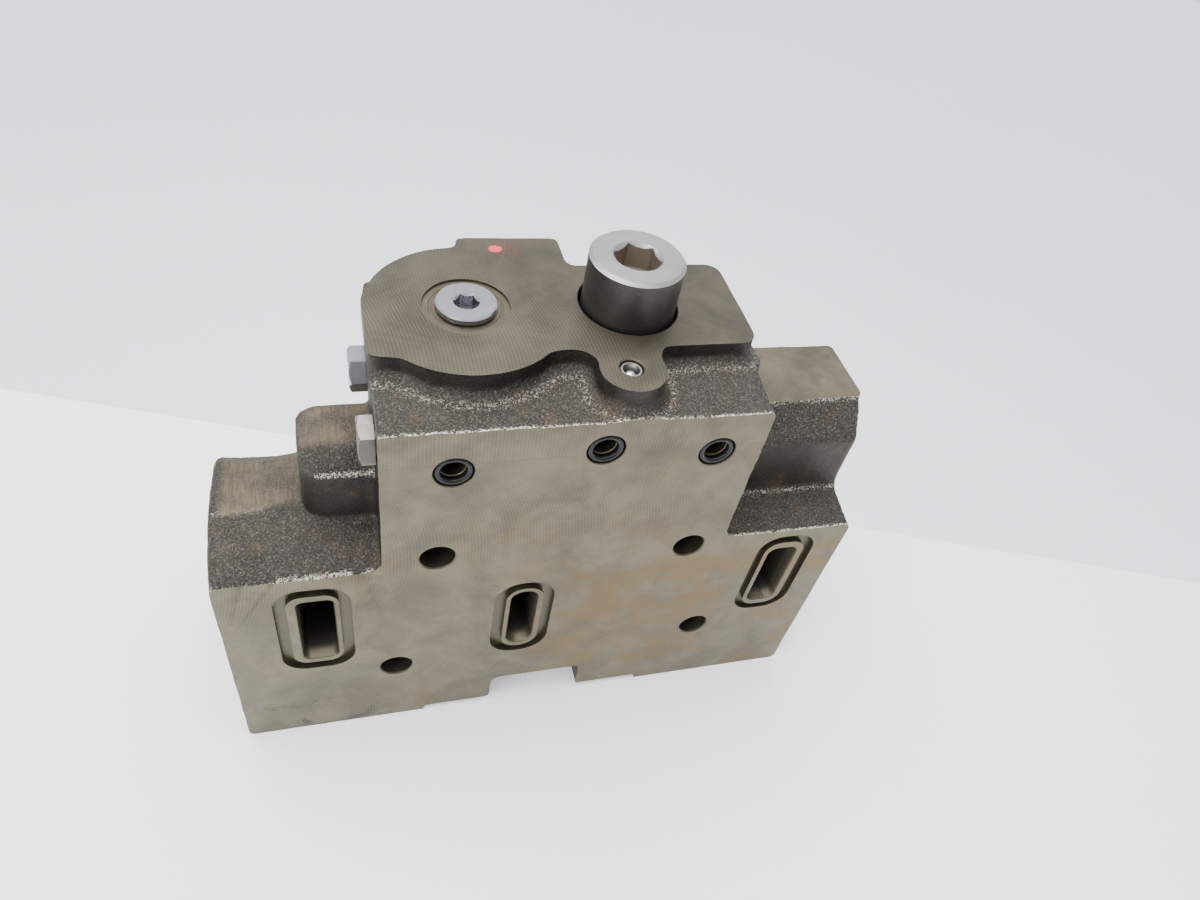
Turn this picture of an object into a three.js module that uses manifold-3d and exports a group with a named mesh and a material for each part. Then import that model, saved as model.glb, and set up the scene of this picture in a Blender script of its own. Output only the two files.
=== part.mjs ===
// One section of a spool-operated directional control valve: a cast iron housing with
// machined joint faces, a spring-centred main spool, a relief valve under a round cap,
// a load check valve under a screw plug, a shuttle valve, a load-sensing piston and an
// expander plug. Millimetres, +Z up. Shapes are laid out from the lower left corner of the
// front joint face: X to the right, Y towards the back, Z up. The finished pieces are then
// moved so that the origin is in the middle of the underside.
import * as THREE from 'three';
import { mergeVertices } from 'three/addons/utils/BufferGeometryUtils.js';
import Module from 'manifold-3d';

const wasm = await Module();
wasm.setup();

// ---- housing, outside ----
const BLOCK_LENGTH = 260;
const BLOCK_DEPTH = 96;
const RAISED_LEFT = 60.2;
const RAISED_RIGHT = 199.3;
const SHOULDER_TOP = 113.6;
const LEDGE_TOP = 186.8;
const LEDGE_BACK = 190.7;
const PAD_TOP = 197.6;
const PAD_FOOT = 186;
const FOOT_ROUND = 2.5;
const REAR_ROUND = { radius: 24, bottom: 84 };
const LEFT_CORNER_FILLET = 7;
const RIGHT_CORNER_FILLET = 4.5;
const BOSS = { left: 33.2, front: 19.6, back: 57, round: 9 };
const RELIEF = { left: 75, right: 183, height: 3.4 };
const NOTCH = { left: 107.5, right: 150, top: 20.8, leftRound: 4, rightRound: 1 };
const BIG_LOBE = { x: 95, y: 51, r: 36.2 };
const SMALL_LOBE = { x: 147, y: 15.2, r: 12.1 };

// ---- housing, openings ----
const TIE_ROD_RADIUS = 6.65;
const TIE_RODS = [[80.5, 119.5], [184.3, 110.2], [64.6, 43.8], [202.6, 45.2]];
const FACE_PORTS = [['left', 84.9, 167.1], ['middle', 137.7, 173.1], ['right', 181.2, 167.9]];
const FACE_PORT = { seatRadius: 7.15, seatDepth: 2.9, boreRadius: 4.35, boreDepth: 18 };
const SEAL_GROOVE_DEPTH = 2.6;
const BLIND_GALLERY_DEPTH = 62;
// Each gallery: the hole, the lip around it and the outer edge of the seal groove, as
// left, right, bottom, top and corner radius.
const GALLERIES = [
  { hole: [28.2, 41.6, 58.8, 99.5, 2.6], lip: [24.3, 43.7, 55.9, 103.2, 6],
    groove: [19.7, 48.2, 51.2, 107.6, 10], through: false },
  { hole: [111.7, 122.7, 50.9, 89.5, 5], lip: [109.5, 125.3, 47.8, 92, 7.4],
    groove: [104.4, 129.9, 43.7, 96.2, 11.5], through: true },
  { hole: [225.5, 238.9, 60.8, 100.6, 4], lip: [223, 242, 57.4, 104.8, 7],
    groove: [219.2, 246.4, 53.7, 109.3, 10.5], through: true },
];
const WORK_PORTS = { x: [91, 166.5], radius: 12, mouthRadius: 15, mouthTop: 5.4 };

// ---- main spool ----
const SPOOL = { y: 48, z: 78.5, bore: 12, radius: 11.92, waist: 8.6, left: 23.2, right: 236.8 };
const SPOOL_WAISTS = [[30, 77], [105, 152.5], [180.5, 230]];
const SPOOL_POCKET = { radius: 6.6, depth: 20 };
const SPOOL_STROKE = 7;
const END_PLUG = { bore: 15, boreDepth: 14, radius: 14.7, outer: 0.6, inner: 13.4 };
const END_PLUG_SOCKET = { flats: 12, depth: 6 };
const END_PLUG_GROOVE = { from: 8, to: 11, radius: 11.9 };
const END_PLUG_RING = { ring: 13.3, tube: 1.1, at: 9.5 };
const SPRING_SEAT = { from: 13.7, to: 15.5, radius: 10.5, nose: 3.6, noseEnd: 26 };

// ---- relief valve under the round cap ----
const RELIEF_VALVE = { x: 154.9, y: 51.2 };
const CAP = {
  radius: 17.75, top: 218.3, chamfer: 1.2, shoulder: 190, shank: 16.2, bottom: 156.3,
  socketFlats: 15.5, socketTurn: 37.5, socketDepth: 10, bore: 6.4, boreTop: 185,
};
const CAP_GROOVE = { from: 184, to: 187.2, radius: 14 };
const CAP_RING = { ring: 15.2, tube: 1.1, at: 185.6 };
const CAP_SEAT = { radius: 18.9, depth: 8 };
const RELIEF_THREAD = { radius: 16.5, bottom: 152 };
const RELIEF_BORE = { radius: 10, bottom: 118.7 };
const RELIEF_FEED = { radius: 5, bottom: 84 };
const SLEEVE = {
  radius: 9.7, bottom: 119, flange: 15.8, flangeFrom: 152.3, top: 156,
  guide: 6, seatHole: 4, seatTop: 128,
};
const SLEEVE_GROOVE = { from: 134.6, to: 139.4, radius: 7.1 };
const SLEEVE_RING = { ring: 8.5, tube: 1.1, at: 136.2 };
const BACKUP_RING = { from: 137.7, to: 139, inner: 7.5, outer: 9.6 };
const SLEEVE_WINDOW = { from: 128.6, to: 132.4, radius: 8.4, hole: 1.5 };
const RELIEF_POPPET = { radius: 5.92, nose: 2.9, noseBottom: 127, coneTop: 131, top: 147 };

// ---- load check valve under the screw plug ----
const CHECK_VALVE = { x: 94.7, y: 51.5 };
const CHECK_SPOTFACE = { radius: 15.75, depth: 0.8 };
const CHECK_RING_SEAT = { radius: 10.2, bottom: 194.4 };
const CHECK_BORE = { radius: 8.5, bottom: 160 };
const CHECK_SEAT = { radius: 5, bottom: 150 };
const CHECK_FEED = { radius: 3, bottom: 84 };
const CHECK_PLUG = {
  flange: 11, top: 199.6, flangeBottom: 197.1, chamfer: 0.6, neck: 7.6, neckBottom: 194,
  shank: 8.2, bottom: 183, socketFlats: 8, socketTurn: 52.5, socketDepth: 6, bore: 5.2,
  boreTop: 191,
};
const CHECK_RING = { ring: 9, tube: 1, at: 195.6 };
const CHECK_POPPET = {
  radius: 8.42, nose: 3.9, noseBottom: 159.4, coneTop: 165, top: 177, pocket: 5.6, pocketBottom: 168,
};

// ---- shuttle valve behind the lower hexagon plug ----
const SHUTTLE = { y: 17, z: 168 };
const SHUTTLE_PLUG = {
  flats: 17, turn: 30, headFrom: 54.2, headTo: 59.9, neck: 5.3, neckTo: 62.6, shank: 5.7, end: 64,
  drill: 2, drillDepth: 3,
};
const SHUTTLE_BORE = { radius: 6, to: 76, tip: 4, tipTo: 84 };
const SHUTTLE_RING_SEAT = { radius: 7.4, to: 62.4 };
const SHUTTLE_RING = { ring: 6.5, tube: 0.8, at: 61.4 };
const SHUTTLE_SEAT = { from: 64.3, to: 75.7, radius: 5.7, cup: 3.08, cupEnd: 73, hole: 2 };
const SHUTTLE_BALL = { radius: 3, at: 68.65 };

// ---- load-sensing piston behind the upper hexagon plug ----
const LS = { y: 37.4, z: 182.5 };
const LS_PLUG = {
  flats: 14, turn: 10, headFrom: 53, headTo: 59.9, neck: 4.5, neckTo: 62.4, shank: 4.7, end: 67,
};
const LS_BORE = { radius: 5, to: 86 };
const LS_RING_SEAT = { radius: 6.4, to: 62.2 };
const LS_RING = { ring: 5.6, tube: 0.7, at: 61.2 };
const LS_PISTON = { radius: 4.92, from: 78, to: 85.5, groove: 4.2, grooveFrom: 80.5, grooveTo: 82.5 };

// ---- expander plug ----
const EXPANDER = { x: 146.6, y: 15.5, bore: 4.3, bottom: 185, drill: 2.2, drillBottom: 176 };
const EXPANDER_SLEEVE = { radius: 4, from: 187, to: 196.6, mouth: 3, throat: 2.3 };
const EXPANDER_BALL = { radius: 2.5, at: 193 };

// ---- springs: mean coil radius, wire radius, turns ----
const CENTRING_COIL = { radius: 5.1, wire: 0.9, turns: 6 };
const RELIEF_COIL = { radius: 4.3, wire: 0.9, turns: 9 };
const CHECK_COIL = { radius: 4, wire: 0.7, turns: 6 };
const LS_COIL = { radius: 3.4, wire: 0.6, turns: 5 };

// ---- facets ----
const FINE = 28;
const ROUND = 20;
const ARC_STEPS = 6;
const RING_STEPS = 6;
const WIRE_STEPS = 5;
const COIL_STEPS = 9;
const CONTACT_GAP = 0.3;

const IRON = { color: 0x8b8272, roughness: 0.55, metalness: 0.75 };
const STEEL = { color: 0x77767a, roughness: 0.4, metalness: 0.9 };
const ZINC = { color: 0xc3c4c8, roughness: 0.3, metalness: 0.9 };
const SPRING_STEEL = { color: 0x55565a, roughness: 0.35, metalness: 0.9 };
const RUBBER = { color: 0x18181a, roughness: 0.7, metalness: 0 };
const PLASTIC = { color: 0xe8e4d8, roughness: 0.6, metalness: 0 };

const group = new THREE.Group();

// Turns a three.js geometry into a solid that can be joined and cut.
function solid(geometry) {
  geometry.deleteAttribute('normal');
  geometry.deleteAttribute('uv');
  const merged = mergeVertices(geometry, 1e-4);
  const vertices = new Float32Array(merged.attributes.position.array);
  const index = merged.index.array;
  const corners = [];
  let volume = 0;
  for (let i = 0; i < index.length; i += 3) {
    const [a, b, c] = [index[i], index[i + 1], index[i + 2]];
    if (a === b || b === c || c === a) continue;
    corners.push(a, b, c);
    const [p, q, r] = [a, b, c].map((k) => new THREE.Vector3().fromArray(vertices, 3 * k));
    volume += p.dot(q.cross(r));
  }
  if (volume < 0) corners.reverse();
  return new wasm.Manifold(new wasm.Mesh({
    numProp: 3, vertProperties: vertices, triVerts: new Uint32Array(corners),
  }));
}

// Adds one finished piece to the group, moved to the origin in the middle of the underside.
function piece(name, body, look) {
  const mesh = body.getMesh();
  const geometry = new THREE.BufferGeometry();
  geometry.setAttribute('position', new THREE.BufferAttribute(mesh.vertProperties, 3));
  geometry.setIndex(new THREE.BufferAttribute(mesh.triVerts, 1));
  geometry.translate(-BLOCK_LENGTH / 2, -BLOCK_DEPTH / 2, 0);
  geometry.computeVertexNormals();
  const item = new THREE.Mesh(geometry, new THREE.MeshStandardMaterial(look));
  item.name = name;
  group.add(item);
}

// Points on an arc about (x, y) with radius r, from one angle to another in degrees.
function arc(x, y, r, from, to, steps = ARC_STEPS) {
  const points = [];
  for (let i = 0; i <= steps; i += 1) {
    const angle = THREE.MathUtils.degToRad(from + ((to - from) * i) / steps);
    points.push([x + r * Math.cos(angle), y + r * Math.sin(angle)]);
  }
  return points;
}

// A rectangle with rounded corners.
function roundedBox([left, right, bottom, top, r]) {
  return [
    ...arc(right - r, bottom + r, r, -90, 0), ...arc(right - r, top - r, r, 0, 90),
    ...arc(left + r, top - r, r, 90, 180), ...arc(left + r, bottom + r, r, 180, 270),
  ];
}

function extrude(points, depth) {
  const shape = new THREE.Shape(points.map(([u, v]) => new THREE.Vector2(u, v)));
  return new THREE.ExtrudeGeometry(shape, { depth, bevelEnabled: false, steps: 1 });
}

// Prisms: an outline drawn across an axis and carried along it.
function prismX(points, from, to) {
  const geometry = extrude(points, to - from);
  const axes = [new THREE.Vector3(0, 1, 0), new THREE.Vector3(0, 0, 1), new THREE.Vector3(1, 0, 0)];
  geometry.applyMatrix4(new THREE.Matrix4().makeBasis(...axes));
  geometry.translate(from, 0, 0);
  return solid(geometry);
}

function prismY(points, from, to) {
  const geometry = extrude(points, to - from);
  geometry.rotateX(Math.PI / 2);
  geometry.translate(0, to, 0);
  return solid(geometry);
}

function prismZ(points, from, to) {
  const geometry = extrude(points, to - from);
  geometry.translate(0, 0, from);
  return solid(geometry);
}

// A turned body from a closed profile of [position along the axis, radius] pairs.
function turned(profile, steps = ROUND) {
  const points = profile.map(([along, radius]) => new THREE.Vector2(radius, along));
  return new THREE.LatheGeometry(points, steps);
}

function alongX(geometry, y, z) {
  geometry.rotateZ(-Math.PI / 2);
  geometry.translate(0, y, z);
  return solid(geometry);
}

function alongY(geometry, x, z) {
  geometry.translate(x, 0, z);
  return solid(geometry);
}

function alongZ(geometry, x, y) {
  geometry.rotateX(Math.PI / 2);
  geometry.translate(x, y, 0);
  return solid(geometry);
}

// A plain round bar or hole between two positions on its axis.
function bar(from, to, radius, steps = ROUND) {
  return turned([[from, 0], [from, radius], [to, radius], [to, 0]], steps);
}

// A ring of round section at one position on its axis.
function torus({ ring, tube, at }) {
  const section = arc(at, ring, tube, 0, 360, RING_STEPS);
  return turned(section);
}

function hexagon(flats, turn = 0) {
  return arc(0, 0, flats / Math.sqrt(3), turn, turn + 360, 6).slice(0, 6);
}

function shifted(points, u, v) {
  return points.map(([a, b]) => [a + u, b + v]);
}

// A helical compression spring along Z from one height to another, open at both ends.
function coil({ radius, wire, turns }, from, to) {
  class Helix extends THREE.Curve {
    getPoint(t, target = new THREE.Vector3()) {
      const angle = 2 * Math.PI * turns * t;
      const height = from + wire + (to - from - 2 * wire) * t;
      return target.set(radius * Math.cos(angle), radius * Math.sin(angle), height);
    }
  }
  const section = arc(0, 0, wire, 0, 360, WIRE_STEPS).slice(0, WIRE_STEPS);
  const shape = new THREE.Shape(section.map(([u, v]) => new THREE.Vector2(u, v)));
  return new THREE.ExtrudeGeometry(shape, {
    steps: turns * COIL_STEPS, extrudePath: new Helix(), bevelEnabled: false,
  });
}

function coilX(spec, from, to, y, z) {
  const geometry = coil(spec, from, to);
  geometry.rotateY(Math.PI / 2);
  geometry.translate(0, y, z);
  return solid(geometry);
}

function coilZ(spec, from, to, x, y) {
  const geometry = coil(spec, from, to);
  geometry.translate(x, y, 0);
  return solid(geometry);
}

// The concave corner between a shoulder and the side of the raised part.
function cornerFillet(x, z, r, side) {
  const inner = side < 0 ? arc(x - r, z + r, r, 0, -90) : arc(x + r, z + r, r, 180, 270);
  return [[x - side * 2, z - 2], ...inner.reverse(), [x - side * 2, z + r]];
}

// Left shoulder: rough slope up from the front, machined strip, then a drop to a low back.
function leftShoulder() {
  return prismX([
    [0, 0], [BLOCK_DEPTH, 0], [BLOCK_DEPTH, 79], [80, 81], [73, 86], [68, 98], [64.5, 112],
    [60, 119], [54.7, 121.8], [46.5, 122.8], [27, 124.2], [19, 123.7], [9.1, 121.6], [1.5, 116.9],
    [0, SHOULDER_TOP],
  ], 0, RAISED_LEFT + 2);
}

// Boss beside the raised part, rounded at its outer corners.
function leftBoss() {
  const side = prismX([
    [BOSS.front, 100], [BOSS.back, 100], [56, 128], [53.5, 146], [50.5, 153.5], [46.5, 157.3],
    [31, 157.3], [27, 155.5], [22, 151], [BOSS.front, 147],
  ], BOSS.left - 1, RAISED_LEFT + 2);
  const right = RAISED_LEFT + 2;
  const plan = prismZ([
    [right, BOSS.front - 1], [right, BOSS.back + 1],
    ...arc(BOSS.left + BOSS.round, BOSS.back - BOSS.round, BOSS.round, 90, 180),
    ...arc(BOSS.left + BOSS.round, BOSS.front + BOSS.round, BOSS.round, 180, 270),
  ], 90, 160);
  return side.intersect(plan);
}

// Right shoulder: low step in front, smooth wall, rough slope and a machined flat top.
function rightShoulder() {
  return prismX([
    [0, 0], [BLOCK_DEPTH, 0], [BLOCK_DEPTH, SHOULDER_TOP], [74, 118], [69, 124], [67, 140],
    [65, 152], [62.5, 159], [58.5, 162.5], [32, 162.5], [29, 160.6], [23, 151.5], [19.7, 146],
    [19.7, 121], [18.6, 118.4], [9, 115.6], [0, SHOULDER_TOP],
  ], RAISED_RIGHT - 2, BLOCK_LENGTH);
}

// Raised middle part: the front ledge rises slightly to the pad and the back one falls.
function raisedPart() {
  return prismX([
    [0, 0], [BLOCK_DEPTH, 0], [BLOCK_DEPTH, 179], [84, 185], [76, LEDGE_BACK], [29.5, LEDGE_BACK],
    [23.2, 189.6], [14.7, 188.5], [6.2, 187.1], [0, LEDGE_TOP],
  ], RAISED_LEFT, RAISED_RIGHT);
}

// Rounds the rear left corner of the raised part, which follows the lobe above it.
function rearRoundCut() {
  const { radius: r, bottom } = REAR_ROUND;
  const x = RAISED_LEFT;
  const y = BLOCK_DEPTH;
  return prismZ([[x - 1, y + 1], [x - 1, y - r], ...arc(x + r, y - r, r, 180, 90), [x + r, y + 1]],
    bottom, LEDGE_BACK + 1);
}

// Machined top pad with a round lobe at each valve and a tab towards the back.
function topPad() {
  const outline = [
    ...arc(64.2, 29.6, 4, 180, 270),
    ...arc(BIG_LOBE.x, BIG_LOBE.y, BIG_LOBE.r, -130, -50, 2 * ARC_STEPS),
    ...arc(129, 20.4, 5.4, 120, 20),
    ...arc(SMALL_LOBE.x, SMALL_LOBE.y, SMALL_LOBE.r, 158, 380, 2 * ARC_STEPS),
    ...arc(164, 20.6, 5.4, 160, 90),
    ...arc(193, 32, 6, -90, 0), ...arc(193.5, 69.5, 5.5, 0, 90),
    ...arc(140.5, 79.2, 4, -90, -180), ...arc(134.1, 91.2, 2.4, 0, 90),
    ...arc(98.4, 91.2, 2.4, 90, 180),
    ...arc(BIG_LOBE.x, BIG_LOBE.y, BIG_LOBE.r, 91, 163, 2 * ARC_STEPS),
    [RAISED_LEFT, 60],
  ];
  return prismZ(outline, PAD_FOOT, PAD_TOP);
}

// Underside: the middle is relieved between the feet, with a deep notch across it.
function undersideCuts() {
  const { left, right, top, leftRound, rightRound } = NOTCH;
  const relief = prismY([
    [RELIEF.left, -1], [RELIEF.right, -1], [RELIEF.right, RELIEF.height],
    [RELIEF.left, RELIEF.height],
  ], -1, BLOCK_DEPTH + 1);
  const notch = prismY([
    [left, -1], [right, -1], ...arc(right - rightRound, top - rightRound, rightRound, 0, 90, 3),
    ...arc(left + leftRound, top - leftRound, leftRound, 90, 180),
  ], -1, BLOCK_DEPTH + 1);
  return relief.add(notch);
}

// Everything outside the rounded lower corners at the two ends.
function endCornerCuts() {
  const r = FOOT_ROUND;
  const leftCut = prismY([[-1, -1], [r, -1], ...arc(r, r, r, -90, -180, 4), [-1, r]],
    -1, BLOCK_DEPTH + 1);
  const x = BLOCK_LENGTH;
  const rightCut = prismY([[x + 1, -1], [x + 1, r], ...arc(x - r, r, r, 0, -90, 4), [x - r, -1]],
    -1, BLOCK_DEPTH + 1);
  return leftCut.add(rightCut);
}

// A gallery opening in the front joint face with its seal groove around a lip.
function galleryCut({ hole, lip, groove, through }) {
  const depth = through ? BLOCK_DEPTH + 1 : BLIND_GALLERY_DEPTH;
  const ring = prismY(roundedBox(groove), -1, SEAL_GROOVE_DEPTH)
    .subtract(prismY(roundedBox(lip), -2, SEAL_GROOVE_DEPTH + 1));
  return ring.add(prismY(roundedBox(hole), -1, depth));
}

function facePortCut(x, z) {
  const { seatRadius, seatDepth, boreRadius, boreDepth } = FACE_PORT;
  return alongY(turned([
    [-1, 0], [-1, seatRadius], [seatDepth, seatRadius], [seatDepth, boreRadius],
    [boreDepth, boreRadius], [boreDepth + 2, 0],
  ]), x, z);
}

function workPortCut(x) {
  const { radius, mouthRadius, mouthTop } = WORK_PORTS;
  return alongZ(turned([
    [-1, 0], [-1, mouthRadius], [mouthTop, mouthRadius], [mouthTop + 2, radius],
    [SPOOL.z, radius], [SPOOL.z, 0],
  ]), x, SPOOL.y);
}

function spoolBoreCut() {
  const { bore, boreDepth } = END_PLUG;
  const far = BLOCK_LENGTH - boreDepth;
  return alongX(turned([
    [-1, 0], [-1, bore], [boreDepth, bore], [boreDepth, SPOOL.bore], [far, SPOOL.bore],
    [far, bore], [BLOCK_LENGTH + 1, bore], [BLOCK_LENGTH + 1, 0],
  ], FINE), SPOOL.y, SPOOL.z);
}

function reliefCavityCut() {
  const seat = PAD_TOP - CAP_SEAT.depth;
  return alongZ(turned([
    [RELIEF_FEED.bottom, 0], [RELIEF_FEED.bottom, RELIEF_FEED.radius],
    [RELIEF_BORE.bottom, RELIEF_FEED.radius], [RELIEF_BORE.bottom, RELIEF_BORE.radius],
    [RELIEF_THREAD.bottom, RELIEF_BORE.radius], [RELIEF_THREAD.bottom, RELIEF_THREAD.radius],
    [seat, RELIEF_THREAD.radius], [seat, CAP_SEAT.radius],
    [PAD_TOP + 1, CAP_SEAT.radius], [PAD_TOP + 1, 0],
  ], FINE), RELIEF_VALVE.x, RELIEF_VALVE.y);
}

function checkCavityCut() {
  const face = PAD_TOP - CHECK_SPOTFACE.depth;
  return alongZ(turned([
    [CHECK_FEED.bottom, 0], [CHECK_FEED.bottom, CHECK_FEED.radius],
    [CHECK_SEAT.bottom, CHECK_FEED.radius], [CHECK_SEAT.bottom, CHECK_SEAT.radius],
    [CHECK_BORE.bottom, CHECK_SEAT.radius], [CHECK_BORE.bottom, CHECK_BORE.radius],
    [CHECK_RING_SEAT.bottom, CHECK_BORE.radius], [CHECK_RING_SEAT.bottom, CHECK_RING_SEAT.radius],
    [face, CHECK_RING_SEAT.radius], [face, CHECK_SPOTFACE.radius],
    [PAD_TOP + 1, CHECK_SPOTFACE.radius], [PAD_TOP + 1, 0],
  ]), CHECK_VALVE.x, CHECK_VALVE.y);
}

function sideBoreCuts() {
  const shuttle = alongX(turned([
    [RAISED_LEFT - 1, 0], [RAISED_LEFT - 1, SHUTTLE_RING_SEAT.radius],
    [SHUTTLE_RING_SEAT.to, SHUTTLE_RING_SEAT.radius], [SHUTTLE_RING_SEAT.to, SHUTTLE_BORE.radius],
    [SHUTTLE_BORE.to, SHUTTLE_BORE.radius], [SHUTTLE_BORE.to, SHUTTLE_BORE.tip],
    [SHUTTLE_BORE.tipTo, SHUTTLE_BORE.tip], [SHUTTLE_BORE.tipTo, 0],
  ]), SHUTTLE.y, SHUTTLE.z);
  const sensing = alongX(turned([
    [RAISED_LEFT - 1, 0], [RAISED_LEFT - 1, LS_RING_SEAT.radius],
    [LS_RING_SEAT.to, LS_RING_SEAT.radius], [LS_RING_SEAT.to, LS_BORE.radius],
    [LS_BORE.to, LS_BORE.radius], [LS_BORE.to + 2, 0],
  ]), LS.y, LS.z);
  return shuttle.add(sensing);
}

function expanderCut() {
  const { x, y, bore, bottom, drill, drillBottom } = EXPANDER;
  return alongZ(turned([
    [drillBottom, 0], [drillBottom, drill], [bottom, drill], [bottom, bore],
    [PAD_TOP + 1, bore], [PAD_TOP + 1, 0],
  ]), x, y);
}

function housing() {
  let body = leftShoulder()
    .add(rightShoulder())
    .add(raisedPart().subtract(rearRoundCut()))
    .add(leftBoss())
    .add(topPad())
    .add(prismY(cornerFillet(RAISED_LEFT, SHOULDER_TOP, LEFT_CORNER_FILLET, -1), 0, BOSS.front + 1))
    .add(prismY(cornerFillet(RAISED_RIGHT, SHOULDER_TOP, RIGHT_CORNER_FILLET, 1), 0, BOSS.front + 1))
    .subtract(undersideCuts())
    .subtract(endCornerCuts())
    .subtract(spoolBoreCut())
    .subtract(reliefCavityCut())
    .subtract(checkCavityCut())
    .subtract(sideBoreCuts())
    .subtract(expanderCut());
  for (const gallery of GALLERIES) body = body.subtract(galleryCut(gallery));
  for (const [, x, z] of FACE_PORTS) body = body.subtract(facePortCut(x, z));
  for (const x of WORK_PORTS.x) body = body.subtract(workPortCut(x));
  for (const [x, z] of TIE_RODS) {
    body = body.subtract(alongY(bar(-1, BLOCK_DEPTH + 1, TIE_ROD_RADIUS), x, z));
  }
  return body;
}

// Main spool: lands separated by waists, with a spring pocket drilled in each end.
function mainSpool() {
  const { left, right, radius, waist, y, z } = SPOOL;
  const { radius: pocket, depth } = SPOOL_POCKET;
  const profile = [[left + depth, 0], [left + depth, pocket], [left, pocket], [left, radius]];
  for (const [from, to] of SPOOL_WAISTS) {
    profile.push([from, radius], [from + 1.5, waist], [to - 1.5, waist], [to, radius]);
  }
  profile.push([right, radius], [right, pocket], [right - depth, pocket], [right - depth, 0]);
  return alongX(turned(profile, FINE), y, z);
}

// Mirrors a piece made for the left end so that it fits the right end.
function otherEnd(body) {
  return body.mirror([1, 0, 0]).translate([BLOCK_LENGTH, 0, 0]);
}

function endPlug() {
  const { radius, outer, inner } = END_PLUG;
  const { from, to, radius: neck } = END_PLUG_GROOVE;
  const body = alongX(turned([
    [outer, 0], [outer, radius - 1], [outer + 1, radius], [from, radius], [from, neck], [to, neck],
    [to, radius], [inner, radius], [inner, 0],
  ], FINE), SPOOL.y, SPOOL.z);
  const socket = shifted(hexagon(END_PLUG_SOCKET.flats), SPOOL.y, SPOOL.z);
  return body.subtract(prismX(socket, outer - 1, outer + END_PLUG_SOCKET.depth));
}

function springSeat() {
  const { from, to, radius, nose, noseEnd } = SPRING_SEAT;
  return alongX(turned([
    [from, 0], [from, radius], [to, radius], [to, nose], [noseEnd - 1, nose], [noseEnd, nose - 1],
    [noseEnd, 0],
  ]), SPOOL.y, SPOOL.z);
}

function centringSpring() {
  const from = SPRING_SEAT.to + CONTACT_GAP;
  const to = SPOOL.left + SPOOL_POCKET.depth - CONTACT_GAP;
  return coilX(CENTRING_COIL, from, to, SPOOL.y, SPOOL.z);
}

function reliefCap() {
  const c = CAP;
  const body = alongZ(turned([
    [c.boreTop, 0], [c.boreTop, c.bore], [c.bottom, c.bore], [c.bottom, c.shank],
    [CAP_GROOVE.from, c.shank], [CAP_GROOVE.from, CAP_GROOVE.radius],
    [CAP_GROOVE.to, CAP_GROOVE.radius], [CAP_GROOVE.to, c.shank],
    [c.shoulder, c.shank], [c.shoulder, c.radius], [c.top - c.chamfer, c.radius],
    [c.top, c.radius - c.chamfer], [c.top, 0],
  ], FINE), RELIEF_VALVE.x, RELIEF_VALVE.y);
  const socket = shifted(hexagon(c.socketFlats, c.socketTurn), RELIEF_VALVE.x, RELIEF_VALVE.y);
  return body.subtract(prismZ(socket, c.top - c.socketDepth, c.top + 1));
}

// Sleeve of the relief valve: seat at the bottom, guide above it, seal groove and windows.
function reliefSleeve() {
  const s = SLEEVE;
  const w = SLEEVE_WINDOW;
  const body = alongZ(turned([
    [s.bottom, s.seatHole], [s.bottom, s.radius], [w.from, s.radius], [w.from, w.radius],
    [w.to, w.radius], [w.to, s.radius], [SLEEVE_GROOVE.from, s.radius],
    [SLEEVE_GROOVE.from, SLEEVE_GROOVE.radius], [SLEEVE_GROOVE.to, SLEEVE_GROOVE.radius],
    [SLEEVE_GROOVE.to, s.radius], [s.flangeFrom, s.radius], [s.flangeFrom, s.flange],
    [s.top, s.flange], [s.top, s.guide], [s.seatTop, s.guide], [s.seatTop, s.seatHole],
    [s.bottom, s.seatHole],
  ]), RELIEF_VALVE.x, RELIEF_VALVE.y);
  const middle = (w.from + w.to) / 2;
  const reach = s.radius + 1;
  const across = alongX(
    bar(RELIEF_VALVE.x - reach, RELIEF_VALVE.x + reach, w.hole, 12), RELIEF_VALVE.y, middle);
  return body.subtract(across);
}

function reliefPoppet() {
  const p = RELIEF_POPPET;
  return alongZ(turned([
    [p.noseBottom, 0], [p.noseBottom, p.nose], [p.coneTop, p.radius], [p.top - 0.5, p.radius],
    [p.top, p.radius - 0.5], [p.top, 0],
  ]), RELIEF_VALVE.x, RELIEF_VALVE.y);
}

function backupRing() {
  const { from, to, inner, outer } = BACKUP_RING;
  return alongZ(turned([[from, inner], [from, outer], [to, outer], [to, inner], [from, inner]]),
    RELIEF_VALVE.x, RELIEF_VALVE.y);
}

function checkPlug() {
  const p = CHECK_PLUG;
  const body = alongZ(turned([
    [p.boreTop, 0], [p.boreTop, p.bore], [p.bottom, p.bore], [p.bottom, p.shank],
    [p.neckBottom, p.shank], [p.neckBottom, p.neck], [p.flangeBottom, p.neck],
    [p.flangeBottom, p.flange], [p.top - p.chamfer, p.flange], [p.top, p.flange - p.chamfer],
    [p.top, 0],
  ], FINE), CHECK_VALVE.x, CHECK_VALVE.y);
  const socket = shifted(hexagon(p.socketFlats, p.socketTurn), CHECK_VALVE.x, CHECK_VALVE.y);
  return body.subtract(prismZ(socket, p.top - p.socketDepth, p.top + 1));
}

function checkPoppet() {
  const p = CHECK_POPPET;
  return alongZ(turned([
    [p.noseBottom, 0], [p.noseBottom, p.nose], [p.coneTop, p.radius], [p.top, p.radius],
    [p.top, p.pocket], [p.pocketBottom, p.pocket], [p.pocketBottom, 0],
  ]), CHECK_VALVE.x, CHECK_VALVE.y);
}

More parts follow.
